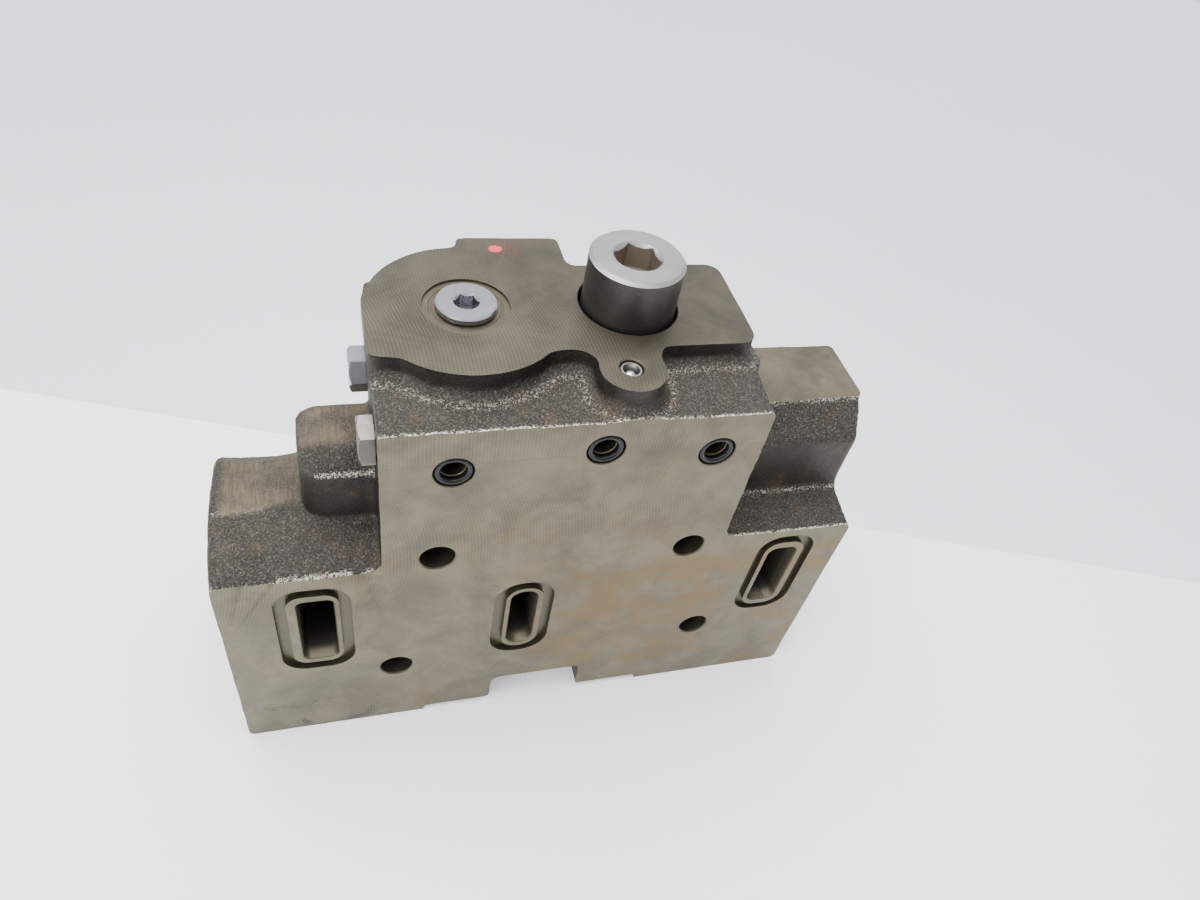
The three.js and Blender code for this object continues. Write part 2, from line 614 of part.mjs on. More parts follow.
// A hexagon-headed screw plug lying along X with an undercut for its sealing ring.
function sidePlug(p, seat) {
  const shank = alongX(turned([
    [p.headTo - 1, 0], [p.headTo - 1, p.neck], [p.neckTo, p.neck], [p.neckTo, p.shank],
    [p.end, p.shank], [p.end, 0],
  ]), seat.y, seat.z);
  return prismX(shifted(hexagon(p.flats, p.turn), seat.y, seat.z), p.headFrom, p.headTo).add(shank);
}

function shuttlePlug() {
  const { end, drill, drillDepth } = SHUTTLE_PLUG;
  return sidePlug(SHUTTLE_PLUG, SHUTTLE)
    .subtract(alongX(bar(end - drillDepth, end + 1, drill, 12), SHUTTLE.y, SHUTTLE.z));
}

function shuttleSeat() {
  const s = SHUTTLE_SEAT;
  return alongX(turned([
    [s.from, s.cup], [s.from, s.radius], [s.to, s.radius], [s.to, s.hole], [s.cupEnd, s.hole],
    [s.cupEnd, s.cup], [s.from, s.cup],
  ]), SHUTTLE.y, SHUTTLE.z);
}

function ball(radius) {
  return new THREE.SphereGeometry(radius, 16, 10);
}

function sensingPiston() {
  const p = LS_PISTON;
  return alongX(turned([
    [p.from, 0], [p.from, p.radius], [p.grooveFrom, p.radius], [p.grooveFrom, p.groove],
    [p.grooveTo, p.groove], [p.grooveTo, p.radius], [p.to, p.radius], [p.to, 0],
  ]), LS.y, LS.z);
}

function expanderSleeve() {
  const { radius, from, to, mouth, throat } = EXPANDER_SLEEVE;
  return alongZ(turned([
    [from, throat], [from, radius], [to, radius], [to, mouth], [from, throat],
  ]), EXPANDER.x, EXPANDER.y);
}

piece('housing', housing(), IRON);

piece('main_spool', mainSpool(), STEEL);
const ends = [['left', (body) => body], ['right', otherEnd]];
for (const [side, place] of ends) {
  piece(`${side}_end_plug`, place(endPlug()), STEEL);
  const ring = alongX(torus(END_PLUG_RING), SPOOL.y, SPOOL.z);
  piece(`${side}_end_plug_oring`, place(ring), RUBBER);
  piece(`${side}_spring_seat`, place(springSeat()), STEEL);
  piece(`${side}_centring_spring`, place(centringSpring()), SPRING_STEEL);
}

piece('relief_cap', reliefCap(), STEEL);
piece('relief_cap_oring', alongZ(torus(CAP_RING), RELIEF_VALVE.x, RELIEF_VALVE.y), RUBBER);
piece('relief_sleeve', reliefSleeve(), STEEL);
piece('relief_sleeve_oring', alongZ(torus(SLEEVE_RING), RELIEF_VALVE.x, RELIEF_VALVE.y), RUBBER);
piece('relief_backup_ring', backupRing(), PLASTIC);
piece('relief_spring', coilZ(RELIEF_COIL, RELIEF_POPPET.top + CONTACT_GAP,
  CAP.boreTop - CONTACT_GAP, RELIEF_VALVE.x, RELIEF_VALVE.y), SPRING_STEEL);
piece('relief_poppet', reliefPoppet(), STEEL);

piece('check_plug', checkPlug(), ZINC);
piece('check_plug_oring', alongZ(torus(CHECK_RING), CHECK_VALVE.x, CHECK_VALVE.y), RUBBER);
piece('check_spring', coilZ(CHECK_COIL, CHECK_POPPET.pocketBottom + CONTACT_GAP,
  CHECK_PLUG.boreTop - CONTACT_GAP, CHECK_VALVE.x, CHECK_VALVE.y), SPRING_STEEL);
piece('check_poppet', checkPoppet(), STEEL);

piece('shuttle_plug', shuttlePlug(), ZINC);
piece('shuttle_plug_oring', alongX(torus(SHUTTLE_RING), SHUTTLE.y, SHUTTLE.z), RUBBER);
piece('shuttle_seat', shuttleSeat(), STEEL);
piece('shuttle_ball', solid(ball(SHUTTLE_BALL.radius).translate(SHUTTLE_BALL.at, SHUTTLE.y,
  SHUTTLE.z)), STEEL);

piece('ls_plug', sidePlug(LS_PLUG, LS), ZINC);
piece('ls_plug_oring', alongX(torus(LS_RING), LS.y, LS.z), RUBBER);
piece('ls_spring', coilX(LS_COIL, LS_PLUG.end + CONTACT_GAP, LS_PISTON.from - CONTACT_GAP,
  LS.y, LS.z), SPRING_STEEL);
piece('ls_piston', sensingPiston(), STEEL);

piece('expander_sleeve', expanderSleeve(), STEEL);
piece('expander_ball', solid(ball(EXPANDER_BALL.radius).translate(EXPANDER.x, EXPANDER.y,
  EXPANDER_BALL.at)), STEEL);

const FACE_RING = { ring: 5.7, tube: 1.15, at: 1.4 };
for (const [side, x, z] of FACE_PORTS) {
  piece(`port_oring_${side}`, alongY(torus(FACE_RING), x, z), RUBBER);
}

export default group;
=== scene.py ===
import math

import bpy
import numpy as np
from mathutils import Matrix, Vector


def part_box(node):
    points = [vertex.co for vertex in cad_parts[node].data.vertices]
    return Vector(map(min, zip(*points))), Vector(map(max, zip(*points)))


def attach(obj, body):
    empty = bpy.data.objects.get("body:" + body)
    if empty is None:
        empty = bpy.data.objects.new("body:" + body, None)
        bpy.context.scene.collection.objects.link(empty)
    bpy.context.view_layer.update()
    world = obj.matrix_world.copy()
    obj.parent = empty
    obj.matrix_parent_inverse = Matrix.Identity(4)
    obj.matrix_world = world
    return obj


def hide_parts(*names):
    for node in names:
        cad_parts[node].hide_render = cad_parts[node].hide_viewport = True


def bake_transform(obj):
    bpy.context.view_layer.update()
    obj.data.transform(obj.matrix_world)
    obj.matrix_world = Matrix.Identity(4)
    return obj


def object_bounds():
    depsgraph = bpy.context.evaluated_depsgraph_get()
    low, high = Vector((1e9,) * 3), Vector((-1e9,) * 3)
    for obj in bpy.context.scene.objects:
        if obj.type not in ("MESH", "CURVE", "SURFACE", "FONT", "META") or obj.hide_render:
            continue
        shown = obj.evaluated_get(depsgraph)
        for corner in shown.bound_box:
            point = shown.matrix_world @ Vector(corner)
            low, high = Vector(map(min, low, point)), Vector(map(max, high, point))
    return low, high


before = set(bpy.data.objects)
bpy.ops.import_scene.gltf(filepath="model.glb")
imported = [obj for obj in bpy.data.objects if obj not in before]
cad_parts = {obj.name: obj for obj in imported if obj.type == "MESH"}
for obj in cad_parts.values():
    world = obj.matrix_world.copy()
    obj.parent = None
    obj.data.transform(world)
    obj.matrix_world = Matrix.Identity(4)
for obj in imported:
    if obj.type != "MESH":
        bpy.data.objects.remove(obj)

bl_info = {
    "name": "Hydraulic valve section",
    "version": (1, 0, 0),
    "blender": (4, 5, 0),
    "location": "View3D > Sidebar > Valve",
    "description": "Builds a cast iron hydraulic valve section with its plugs, spool and valves",
    "category": "Object",
}

CAD_BOX = [list(map(float, corner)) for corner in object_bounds()]
# Lengths below are millimetres from the lower left corner of the front joint face.
LENGTH, DEPTH, _ = (1000 * (hi - lo) for lo, hi in zip(*CAD_BOX))
ORIGIN = np.array([LENGTH / 2, DEPTH / 2, 0.0])
MM = 0.001


def middle(node):
    """Centre of a CAD node in millimetres from the lower left corner of the joint face."""
    low, high = (np.array(corner, float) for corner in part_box(node))
    return (low + high) / 2 / MM + ORIGIN


def span(node, axis):
    """Lowest and highest place of a CAD node along one axis, in the same millimetres."""
    low, high = (np.array(corner, float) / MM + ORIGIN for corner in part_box(node))
    return low[axis], high[axis]


# ---------------------------------------------------------------- sizes and colours

def length(name, text, value):
    return bpy.props.FloatProperty(name=name, description=text, default=value * MM, unit="LENGTH")


def colour(name, text, value):
    return bpy.props.FloatVectorProperty(
        name=name, description=text, default=value, size=3, min=0.0, max=1.0, subtype="COLOR")


class CastingSizes(bpy.types.PropertyGroup):
    grain: length("Skin grain", "Size of one facet of the cast skin", 1.12)
    lump: length("Skin lumps", "Height of the broad waves in the cast skin", 0.3)
    grit: length("Skin grit", "Height of the sand grain in the cast skin", 0.22)
    raised_left: length("Raised part left", "Left side of the raised part", 60.2)
    raised_right: length("Raised part right", "Right side of the raised part", 199.3)
    shoulder: length("Shoulder height", "Height of the joint face at its two ends", 113.6)
    ledge: length("Ledge height", "Height of the joint face in the middle", 186.8)
    pad: length("Pad height", "Height of the milled pad", 197.6)
    shoulder_flat: length("Shoulder flat", "Height of the milled right shoulder", 162.5)
    rear_round: length("Rear corner", "Radius of the raised part's rear left corner", 24.0)
    skirt: length("Pad skirt", "Radius that runs from the pad's side into the ledge", 6.0)


class OpeningSizes(bpy.types.PropertyGroup):
    tie_rod: length("Tie-rod hole", "Radius of the four tie-rod holes", 6.65)
    groove: length("Seal groove", "Depth of the seal groove round a gallery", 2.6)
    port_seat: length("Port seat", "Radius of the ring seat in a face port", 7.15)
    port_bore: length("Port bore", "Radius of a face port", 4.35)
    spotface: length("Plug spotface", "Radius of the spotface round the screw plug", 15.75)
    cap_seat: length("Cap seat", "Radius of the recess round the round cap", 18.9)


class SpoolSizes(bpy.types.PropertyGroup):
    land: length("Land radius", "Radius of the spool's lands", 11.92)
    waist: length("Waist radius", "Radius of the spool between its lands", 8.6)
    pocket: length("Spring pocket", "Radius of the pocket in each end of the spool", 6.6)
    end_socket: length("End plug socket", "Width across flats of the end plug's socket", 12.0)


class PlugSizes(bpy.types.PropertyGroup):
    cap: length("Relief cap", "Radius of the round cap", 17.75)
    socket: length("Cap socket", "Width across flats of the cap's socket", 15.5)
    check_flange: length("Check plug", "Radius of the screw plug's flange", 11.0)
    check_socket: length("Check plug socket", "Width across flats of the screw plug's socket", 8.0)
    shuttle_hexagon: length("Shuttle hexagon", "Width across flats of the shuttle plug", 17.0)
    sensing_hexagon: length("Sensing hexagon", "Width across flats of the sensing plug", 14.0)


class ValveColours(bpy.types.PropertyGroup):
    skin: colour("Cast skin", "Oiled cast iron skin", (0.040, 0.035, 0.030))
    # skin_bright colours the worn high points and also the painted highlights on edges and grains
    skin_bright: colour("Worn skin", "Bare high points of the skin", (0.60, 0.54, 0.46))
    milled: colour("Milled face", "Milled iron on the joint face", (0.134, 0.116, 0.080))
    pad: colour("Milled pad", "Milled iron on the top pad", (0.076, 0.066, 0.049))
    tarnish: colour("Tarnish", "Yellow brown film on milled iron", (0.150, 0.098, 0.034))
    steel: colour("Turned steel", "Dull turned steel", (0.27, 0.262, 0.25))
    zinc: colour("Zinc", "Bright zinc plating", (0.36, 0.365, 0.385))
    rubber: colour("Rubber", "Black nitrile rubber", (0.012, 0.012, 0.013))
    dot: colour("Paint dot", "Red inspection paint", (0.62, 0.035, 0.03))


class StageSettings(bpy.types.PropertyGroup):
    lens: bpy.props.FloatProperty(
        name="Lens", description="Focal length of the camera", default=25.62, unit="CAMERA")
    floor: colour("Floor", "Pale table top", (0.90, 0.905, 0.915))
    wall: colour("Wall", "Pale wall behind the table", (0.95, 0.955, 0.965))
    key: bpy.props.FloatProperty(
        name="Key light", description="Power of the large light overhead", default=17.0,
        unit="POWER")
    fill: bpy.props.FloatProperty(
        name="Fill light", description="Power of the light on the left", default=5.0,
        unit="POWER")


# ---------------------------------------------------------------- surfaces

def to_metres(points):
    """Millimetres from the corner of the joint face as metres from the object's origin."""
    return (np.asarray(points, float) - ORIGIN) * MM


def new_object(name, verts, faces, finishes=(), smooth_angle=22.0):
    """Puts points (mm) and faces into a mesh object at the origin, closed and facing out."""
    mesh = bpy.data.meshes.new(name)
    mesh.from_pydata(to_metres(verts).tolist(), [], [list(map(int, face)) for face in faces])
    mesh.update()
    item = bpy.data.objects.new(name, mesh)
    bpy.context.scene.collection.objects.link(item)
    for finish in finishes:
        mesh.materials.append(finish)
    recalculate(mesh)
    mesh.shade_smooth()
    mesh.set_sharp_from_angle(angle=math.radians(smooth_angle))
    return item


def recalculate(mesh):
    """Turns every face outwards: the sum of v0 . (v1 x v2) over a closed surface is positive."""
    mesh.calc_loop_triangles()
    count = len(mesh.loop_triangles)
    index = np.empty(count * 3, np.int32)
    mesh.loop_triangles.foreach_get("vertices", index)
    co = np.empty(len(mesh.vertices) * 3)
    mesh.vertices.foreach_get("co", co)
    tri = co.reshape(-1, 3)[index.reshape(-1, 3)]
    if np.einsum("ij,ij->", tri[:, 0], np.cross(tri[:, 1], tri[:, 2])) < 0:
        mesh.flip_normals()


def grid_faces(rows, cols, wrap_rows=False, start=0):
    """Quads between neighbouring rows of a grid whose columns close on themselves."""
    r = np.arange(rows if wrap_rows else rows - 1)[:, None]
    c = np.arange(cols)[None, :]
    a = r * cols + c
    b = r * cols + (c + 1) % cols
    d = ((r + 1) % rows) * cols + c
    e = ((r + 1) % rows) * cols + (c + 1) % cols
    return (np.stack([a, b, e, d], -1).reshape(-1, 4) + start).tolist()


def loft(sections):
    """A solid through closed outlines: an (n, m, 3) grid with a flat cap on its two ends."""
    sections = np.asarray(sections, float)
    n, m = sections.shape[:2]
    faces = grid_faces(n, m)
    faces.append(list(range(m))[::-1])
    faces.append(list(range((n - 1) * m, n * m)))
    return sections.reshape(-1, 3), faces


def extruded(outline, lo, hi, axis):
    """An outline in the plane across an axis, carried from lo to hi along that axis."""
    outline = np.asarray(outline, float)
    sections = np.empty((2, len(outline), 3))
    others = [k for k in range(3) if k != axis]
    sections[:, :, others] = outline[None]
    sections[0, :, axis] = lo
    sections[1, :, axis] = hi
    return loft(sections)


def arc(x, y, r, start, end, steps=10):
    """Points (x + r cos a, y + r sin a) with the angle a from start to end, in degrees."""
    a = np.radians(np.linspace(start, end, steps + 1))
    return np.stack([x + r * np.cos(a), y + r * np.sin(a)], -1)


def rounded_box(left, right, bottom, top, r, steps=8):
    """A rectangle whose four corners are quarter circles of radius r."""
    return np.concatenate([
        arc(right - r, bottom + r, r, -90, 0, steps), arc(right - r, top - r, r, 0, 90, steps),
        arc(left + r, top - r, r, 90, 180, steps), arc(left + r, bottom + r, r, 180, 270, steps)])


def offset(outline, distance):
    """Moves each point of a closed outline outwards along the mean normal of its two edges."""
    outline = np.asarray(outline, float)
    edge = np.roll(outline, -1, 0) - outline
    normal = np.stack([edge[:, 1], -edge[:, 0]], -1)
    normal /= np.linalg.norm(normal, axis=1, keepdims=True) + 1e-9
    mean = normal + np.roll(normal, 1, 0)
    mean /= np.linalg.norm(mean, axis=1, keepdims=True) + 1e-9
    x, y = outline.T
    area = np.sum(x * np.roll(y, -1) - y * np.roll(x, -1))
    return outline + mean * distance * np.sign(area)


def turned(rings, centre, axis, steps=96, closed=False):
    """Rings about an axis: each is (place along the axis, radius), and either may be an
    array over the angle, so a ring can be a circle, a hexagon or a scalloped edge. A radius
    of nought is one point, and closed joins the last ring to the first."""
    theta = 2 * np.pi * np.arange(steps) / steps
    across = {0: (1, 2), 1: (2, 0), 2: (0, 1)}[axis]
    verts, faces, first = [], [], []
    total = 0
    for along, radius in rings:
        point = np.isscalar(radius) and radius == 0
        count = 1 if point else steps
        ring = np.empty((count, 3))
        ring[:, axis] = along
        turn = theta[:count]
        ring[:, across[0]] = centre[across[0]] + radius * np.cos(turn)
        ring[:, across[1]] = centre[across[1]] + radius * np.sin(turn)
        verts.append(ring)
        first.append((total, count))
        total += count
    pairs = list(zip(first, first[1:]))
    if closed:
        pairs.append((first[-1], first[0]))
    ahead = np.roll(np.arange(steps), -1)
    here = np.arange(steps)
    for (a, na), (b, nb) in pairs:
        if na == 1:
            faces += np.stack([np.full(steps, a), b + here, b + ahead], -1).tolist()
        elif nb == 1:
            faces += np.stack([a + ahead, a + here, np.full(steps, b)], -1).tolist()
        else:
            faces += np.stack([a + ahead, a + here, b + here, b + ahead], -1).tolist()
    return np.concatenate(verts), faces


def hexagon(flats, turn, steps=96):
    """Radius of a hexagon at each angle: half the flats over the cosine from the nearest flat."""
    theta = 2 * np.pi * np.arange(steps) / steps
    from_flat = (theta - math.radians(turn + 30)) % (math.pi / 3)
    from_flat = np.minimum(from_flat, math.pi / 3 - from_flat)
    return flats / 2 / np.cos(from_flat)


def torus_rings(ring, tube, at, steps=20):
    """Rings of a torus: a circle of radius tube about the point (at, ring)."""
    a = 2 * np.pi * np.arange(steps) / steps
    return list(zip(at + tube * np.sin(a), ring + tube * np.cos(a)))


def thread_rings(lo, hi, crest, depth, pitch=1.5):
    """A saw-tooth profile: crest and root radii by turns, half a pitch apart."""
    count = max(2, int((hi - lo) / (pitch / 2)))
    places = np.linspace(lo, hi, count + 1)
    return [(float(p), crest - depth * (k % 2)) for k, p in enumerate(places)]


def ball_rings(at, r, steps=24):
    """Rings of a ball: radius r sin a at height at - r cos a."""
    a = np.linspace(0, np.pi, steps + 1)[1:-1]
    return [(at - r, 0)] + list(zip(at - r * np.cos(a), r * np.sin(a))) + [(at + r, 0)]


def coil(radius, wire, turns, lo, hi, centre, axis, around=10, per_turn=32):
    """A tube of radius wire along a helix, its end turns closed and lying flat on both ends."""
    n = int(turns * per_turn) + 1
    t = np.linspace(0, turns, n)
    free = np.clip((t - 0.75) / (turns - 1.5), 0, 1)
    low, high = lo + wire, hi - wire
    closing = 2.1 * wire * 0.75
    height = low + closing * np.clip(t / 0.75, 0, 1) + free * (high - low - 2 * closing)
    height += closing * np.clip((t - turns + 0.75) / 0.75, 0, 1)
    phi = 2 * np.pi * t
    a = 2 * np.pi * np.arange(around) / around
    rho = radius + wire * np.cos(a)[None, :]
    tube = np.empty((n, around, 3))
    across = {0: (1, 2), 1: (2, 0), 2: (0, 1)}[axis]
    tube[:, :, axis] = height[:, None] + wire * np.sin(a)[None, :]
    tube[:, :, across[0]] = centre[across[0]] + rho * np.cos(phi)[:, None]
    tube[:, :, across[1]] = centre[across[1]] + rho * np.sin(phi)[:, None]
    return loft(tube)


def lattice_noise(points, cell, seed):
    """Smooth noise: a hashed value at each corner of a cubic lattice, blended with the
    weight 3t^2 - 2t^3 along every axis, from -1 to 1."""
    scaled = points / cell
    base = np.floor(scaled).astype(np.int64)
    frac = scaled - base
    weight = frac * frac * (3 - 2 * frac)
    total = np.zeros(len(points))
    for corner in range(8):
        bits = np.array([(corner >> k) & 1 for k in range(3)])
        cellid = base + bits
        key = cellid[:, 0] * 73856093 ^ cellid[:, 1] * 19349663 ^ cellid[:, 2] * 83492791
        key = (key ^ (seed * 2654435761)) & 0x7FFFFFFF
        key = (key * 1103515245 + 12345) & 0x7FFFFFFF
        key = (key ^ (key >> 13)) * 1274126177 & 0x7FFFFFFF
        value = (key >> 7) % 65536 / 32767.5 - 1.0
        share = np.prod(np.where(bits, weight, 1 - weight), axis=1)
        total += share * value
    return total


def smoothstep(value, lo, hi):
    """0 below lo and 1 above hi with 3t^2 - 2t^3 between; falls when lo is above hi."""
    t = np.clip((value - lo) / (hi - lo), 0, 1)
    return t * t * (3 - 2 * t)


# ---------------------------------------------------------------- shader maths

class Value:
    """A number socket that adds Math nodes when it is used in an expression."""

    def __init__(self, tree, socket):
        self.tree = tree
        self.socket = socket

    def math(self, operation, *others):
        node = self.tree.nodes.new("ShaderNodeMath")
        node.operation = operation
        for place, item in enumerate((self,) + others):
            plug(self.tree, item, node.inputs[place])
        return Value(self.tree, node.outputs[0])

    def __add__(self, other):
        return self.math("ADD", other)

    def __radd__(self, other):
        return self.math("ADD", other)

    def __sub__(self, other):
        return self.math("SUBTRACT", other)

    def __rsub__(self, other):
        return Value.lift(self.tree, other).math("SUBTRACT", self)

    def __mul__(self, other):
        return self.math("MULTIPLY", other)

    def __rmul__(self, other):
        return self.math("MULTIPLY", other)

    def __neg__(self):
        return self.math("MULTIPLY", -1.0)

    def __abs__(self):
        return self.math("ABSOLUTE")

    @staticmethod
    def lift(tree, number):
        node = tree.nodes.new("ShaderNodeMath")
        node.operation = "ADD"
        node.inputs[0].default_value = number
        node.inputs[1].default_value = 0.0
        return Value(tree, node.outputs[0])

    def least(self, other):
        return self.math("MINIMUM", other)

    def most(self, other):
        return self.math("MAXIMUM", other)

    def sine(self):
        return self.math("SINE")

    def root(self):
        return self.math("SQRT")

    def step(self, lo, hi):
        """0 below lo and 1 above hi, smooth between; falls instead when lo is above hi."""
        node = self.tree.nodes.new("ShaderNodeMapRange")
        node.interpolation_type = "SMOOTHSTEP"
        plug(self.tree, self, node.inputs["Value"])
        low, high, start, end = (lo, hi, 0.0, 1.0) if lo < hi else (hi, lo, 1.0, 0.0)
        node.inputs["From Min"].default_value = low
        node.inputs["From Max"].default_value = high
        node.inputs["To Min"].default_value = start
        node.inputs["To Max"].default_value = end
        return Value(self.tree, node.outputs["Result"])


def plug(tree, item, socket):
    """Links a value or an output to an input, or sets the input to a plain number or colour."""
    if isinstance(item, Value):
        tree.links.new(item.socket, socket)
    elif isinstance(item, bpy.types.NodeSocket):
        tree.links.new(item, socket)
    elif isinstance(item, (tuple, list)) and len(item) == 3 and socket.type == "RGBA":
        socket.default_value = (*item, 1.0)
    else:
        socket.default_value = item


class Finish:
    """One material: object coordinates in millimetres from the corner of the joint face."""

    def __init__(self, name):
        self.material = bpy.data.materials.new(name)
        self.material.use_nodes = True
        self.tree = self.material.node_tree
        self.shader = self.tree.nodes["Principled BSDF"]
        here = self.add("ShaderNodeTexCoord")
        scaled = self.add("ShaderNodeVectorMath", {"operation": "SCALE"},
                          {"Vector": here.outputs["Object"], "Scale": 1 / MM})
        moved = self.add("ShaderNodeVectorMath", {"operation": "ADD"},
                         {0: scaled.outputs[0], 1: tuple(ORIGIN)})
        self.place = moved.outputs[0]
        parts = self.add("ShaderNodeSeparateXYZ", {}, {0: self.place})
        self.x, self.y, self.z = (Value(self.tree, parts.outputs[k]) for k in range(3))

    def add(self, kind, settings=None, inputs=None):
        """Adds a node of a kind, with its settings first and then its sockets."""
        node = self.tree.nodes.new(kind)
        for key, value in (settings or {}).items():
            setattr(node, key, value)
        for key, value in (inputs or {}).items():
            plug(self.tree, value, node.inputs[key])
        return node

    def noise(self, scale, detail=3.0, rough=0.55, stretch=None, warp=0.0):
        """Noise with about scale cells to a millimetre, from 0 to 1."""
        source = self.place
        if stretch:
            source = self.add("ShaderNodeVectorMath", {"operation": "MULTIPLY"},
                              {0: source, 1: stretch}).outputs[0]
        node = self.add("ShaderNodeTexNoise", {}, {
            "Vector": source, "Scale": scale, "Detail": detail, "Roughness": rough,
            "Distortion": warp})
        return Value(self.tree, node.outputs[0])

    def attribute(self, name):
        """One of the numbers that write_masks stores on the points."""
        node = self.add("ShaderNodeAttribute", {"attribute_name": name})
        return Value(self.tree, node.outputs["Fac"])

    def blend(self, share, first, second):
        """Mix of two colours: first where share is 0, second where it is 1."""
        node = self.add("ShaderNodeMix", {"data_type": "RGBA", "clamp_factor": True})
        plug(self.tree, share, node.inputs[0])
        plug(self.tree, first, node.inputs[6])
        plug(self.tree, second, node.inputs[7])
        return node.outputs[2]

    def bump(self, height, distance, strength=1.0):
        """Normal of a surface raised by height, where a height of 1 is distance millimetres."""
        return self.add("ShaderNodeBump", {}, {
            "Height": height, "Distance": distance * MM, "Strength": strength}).outputs[0]

    def surface(self, colour, rough, metal, normal=None, **plain):
        """Fills the shader's inputs; a plain input is named with underscores for spaces."""
        plug(self.tree, colour, self.shader.inputs["Base Color"])
        plug(self.tree, rough, self.shader.inputs["Roughness"])
        plug(self.tree, metal, self.shader.inputs["Metallic"])
        if normal is not None:
            plug(self.tree, normal, self.shader.inputs["Normal"])
        for key, value in plain.items():
            self.shader.inputs[key.replace("_", " ")].default_value = value
        return self.material


FINISHES = {}


def finish_once(maker):
    """Keeps one material for each maker, so like pieces share it."""
    def get():
        if maker.__name__ not in FINISHES:
            FINISHES[maker.__name__] = maker()
        return FINISHES[maker.__name__]
    return get


def shades():
    """The colours that the panel's property group holds."""
    return bpy.context.scene.valve_colours


def scaled(shade, factor):
    """A colour made lighter or darker, each channel at most 1."""
    return tuple(min(1.0, c * factor) for c in shade)


def oil_film(f, base, strength):
    """Broad patches of yellow brown film over milled iron."""
    patch = f.noise(0.022, 4.0, 0.6, warp=0.6).step(0.5, 0.72)
    fine = f.noise(0.11, 4.0, 0.6).step(0.42, 0.75)
    share = patch * fine * strength
    return f.blend(share, base, tuple(shades().tarnish))


def mill_arcs(f, across, along, centre, radius, pitch):
    """Feed marks of a face mill: arcs x = x0 + sqrt(r^2 - (z - centre)^2), pitch apart."""
    rise = (radius * radius - (across - centre) * (across - centre)).most(1.0).root()
    return ((along - rise) * (2 * math.pi / pitch)).sine()


# heights at which the cutter's passes meet on the joint faces
LOW_LINE, HIGH_LINE = 57.2, 171.3
PAINT_DOT = (110.5, 86.4)
# near-black of the painted shade deep inside the bores
BORE_SHADE_BLACK = (0.012, 0.011, 0.010)


@finish_once
def milled_face():
    """Front and rear joint faces: bands of mill arcs, film and a few dark stains."""
    f = Finish("milled_face")
    base = tuple(shades().milled)
    middle_band = f.z.step(56.9, 57.5) * f.z.step(171.6, 171.0)
    low = mill_arcs(f, f.z, f.x, 8.0, 92.0, 1.25)
    mid = mill_arcs(f, f.z, f.x, 120.0, 86.0, 1.25)
    marks = low * (1 - middle_band) + mid * middle_band
    jitter = f.noise(0.35, 2.0, stretch=(1.0, 1.0, 0.3))
    marks = marks * (0.15 + 1.1 * jitter)
    lines = abs(f.z - LOW_LINE).step(0.35, 0.0)
    lines = lines.most(abs(f.z - HIGH_LINE).step(0.35, 0.0))
    cloud = f.noise(0.05, 5.0, 0.62, warp=0.4)
    shade = f.blend(cloud.step(0.3, 0.7), scaled(base, 0.70), scaled(base, 1.22))
    purple = f.noise(0.035, 4.0, 0.65, stretch=(1.0, 1.0, 0.8), warp=0.5).step(0.5, 0.7)
    shade = f.blend(purple * 0.62, shade, (0.082, 0.066, 0.050))
    shade = oil_film(f, shade, 0.75)
    yellow = f.noise(0.03, 4.0, 0.65, stretch=(0.8, 1.0, 1.3)).step(0.42, 0.62)
    yellow = yellow * f.x.step(85.0, 150.0) * f.z.step(150.0, 90.0)
    shade = f.blend(yellow * 0.75, shade, tuple(shades().tarnish))
    stain = f.noise(0.13, 6.0, 0.7, stretch=(0.5, 1.0, 1.0), warp=1.2).step(0.56, 0.62)
    stain = stain * f.x.step(72.0, 40.0) * f.z.step(30.0, 14.0)
    shade = f.blend(stain * 0.75, shade, (0.09, 0.085, 0.08))
    shade = f.blend(lines * 0.4, shade, scaled(base, 0.6))
    shade = f.blend(marks.step(-0.2, 1.0) * 0.2, shade, scaled(base, 1.6))
    shade = f.blend(marks.step(0.1, -1.0) * 0.18, shade, scaled(base, 0.6))
    speckle = f.noise(1.6, 2.0).step(0.35, 0.7)
    rough = 0.36 + cloud * 0.14 + speckle * 0.05 + stain * 0.2
    height = marks * 0.5 + speckle * 0.35 - lines * 1.5
    return f.surface(shade, rough, 0.85, f.bump(height, 0.035, 0.7))


@finish_once
def milled_pad():
    """Top pad: crossed arcs of a large face mill, with a film and the red paint dot."""
    f = Finish("milled_pad")
    base = tuple(shades().pad)
    first = mill_arcs(f, f.y, f.x, 20.0, 110.0, 1.3)
    second = mill_arcs(f, f.y, -f.x, 75.0, 110.0, 1.15)
    marks = (first * 0.55 + second * 0.45) * (0.35 + f.noise(0.25, 2.0) * 1.1)
    cloud = f.noise(0.045, 4.0, 0.6, warp=0.3)
    shade = f.blend(cloud.step(0.3, 0.7), scaled(base, 0.75), scaled(base, 1.2))
    shade = oil_film(f, shade, 0.35)
    shade = f.blend(marks.step(-0.1, 1.0) * 0.38, shade, scaled(base, 1.65))
    shade = f.blend(marks.step(0.1, -1.0) * 0.35, shade, scaled(base, 0.55))
    dx = f.x - PAINT_DOT[0]
    dy = f.y - PAINT_DOT[1]
    wobble = f.noise(0.5, 2.0) * 1.1
    dot = ((dx * dx + dy * dy * 1.25).root() + wobble).step(3.3, 2.8)
    smear = f.noise(1.1, 2.0).step(0.45, 0.6)
    smear = smear * ((dx - 4.0) * (dx - 4.0) + dy * dy).root().step(7.0, 3.0)
    shade = f.blend(smear * 0.12, shade, tuple(shades().dot))
    shade = f.blend(dot, shade, tuple(shades().dot))
    metal = 0.85 - dot * 0.85
    rough = 0.38 + cloud * 0.12 + marks * 0.03
    return f.surface(shade, rough, metal, f.bump(marks, 0.03, 0.7))


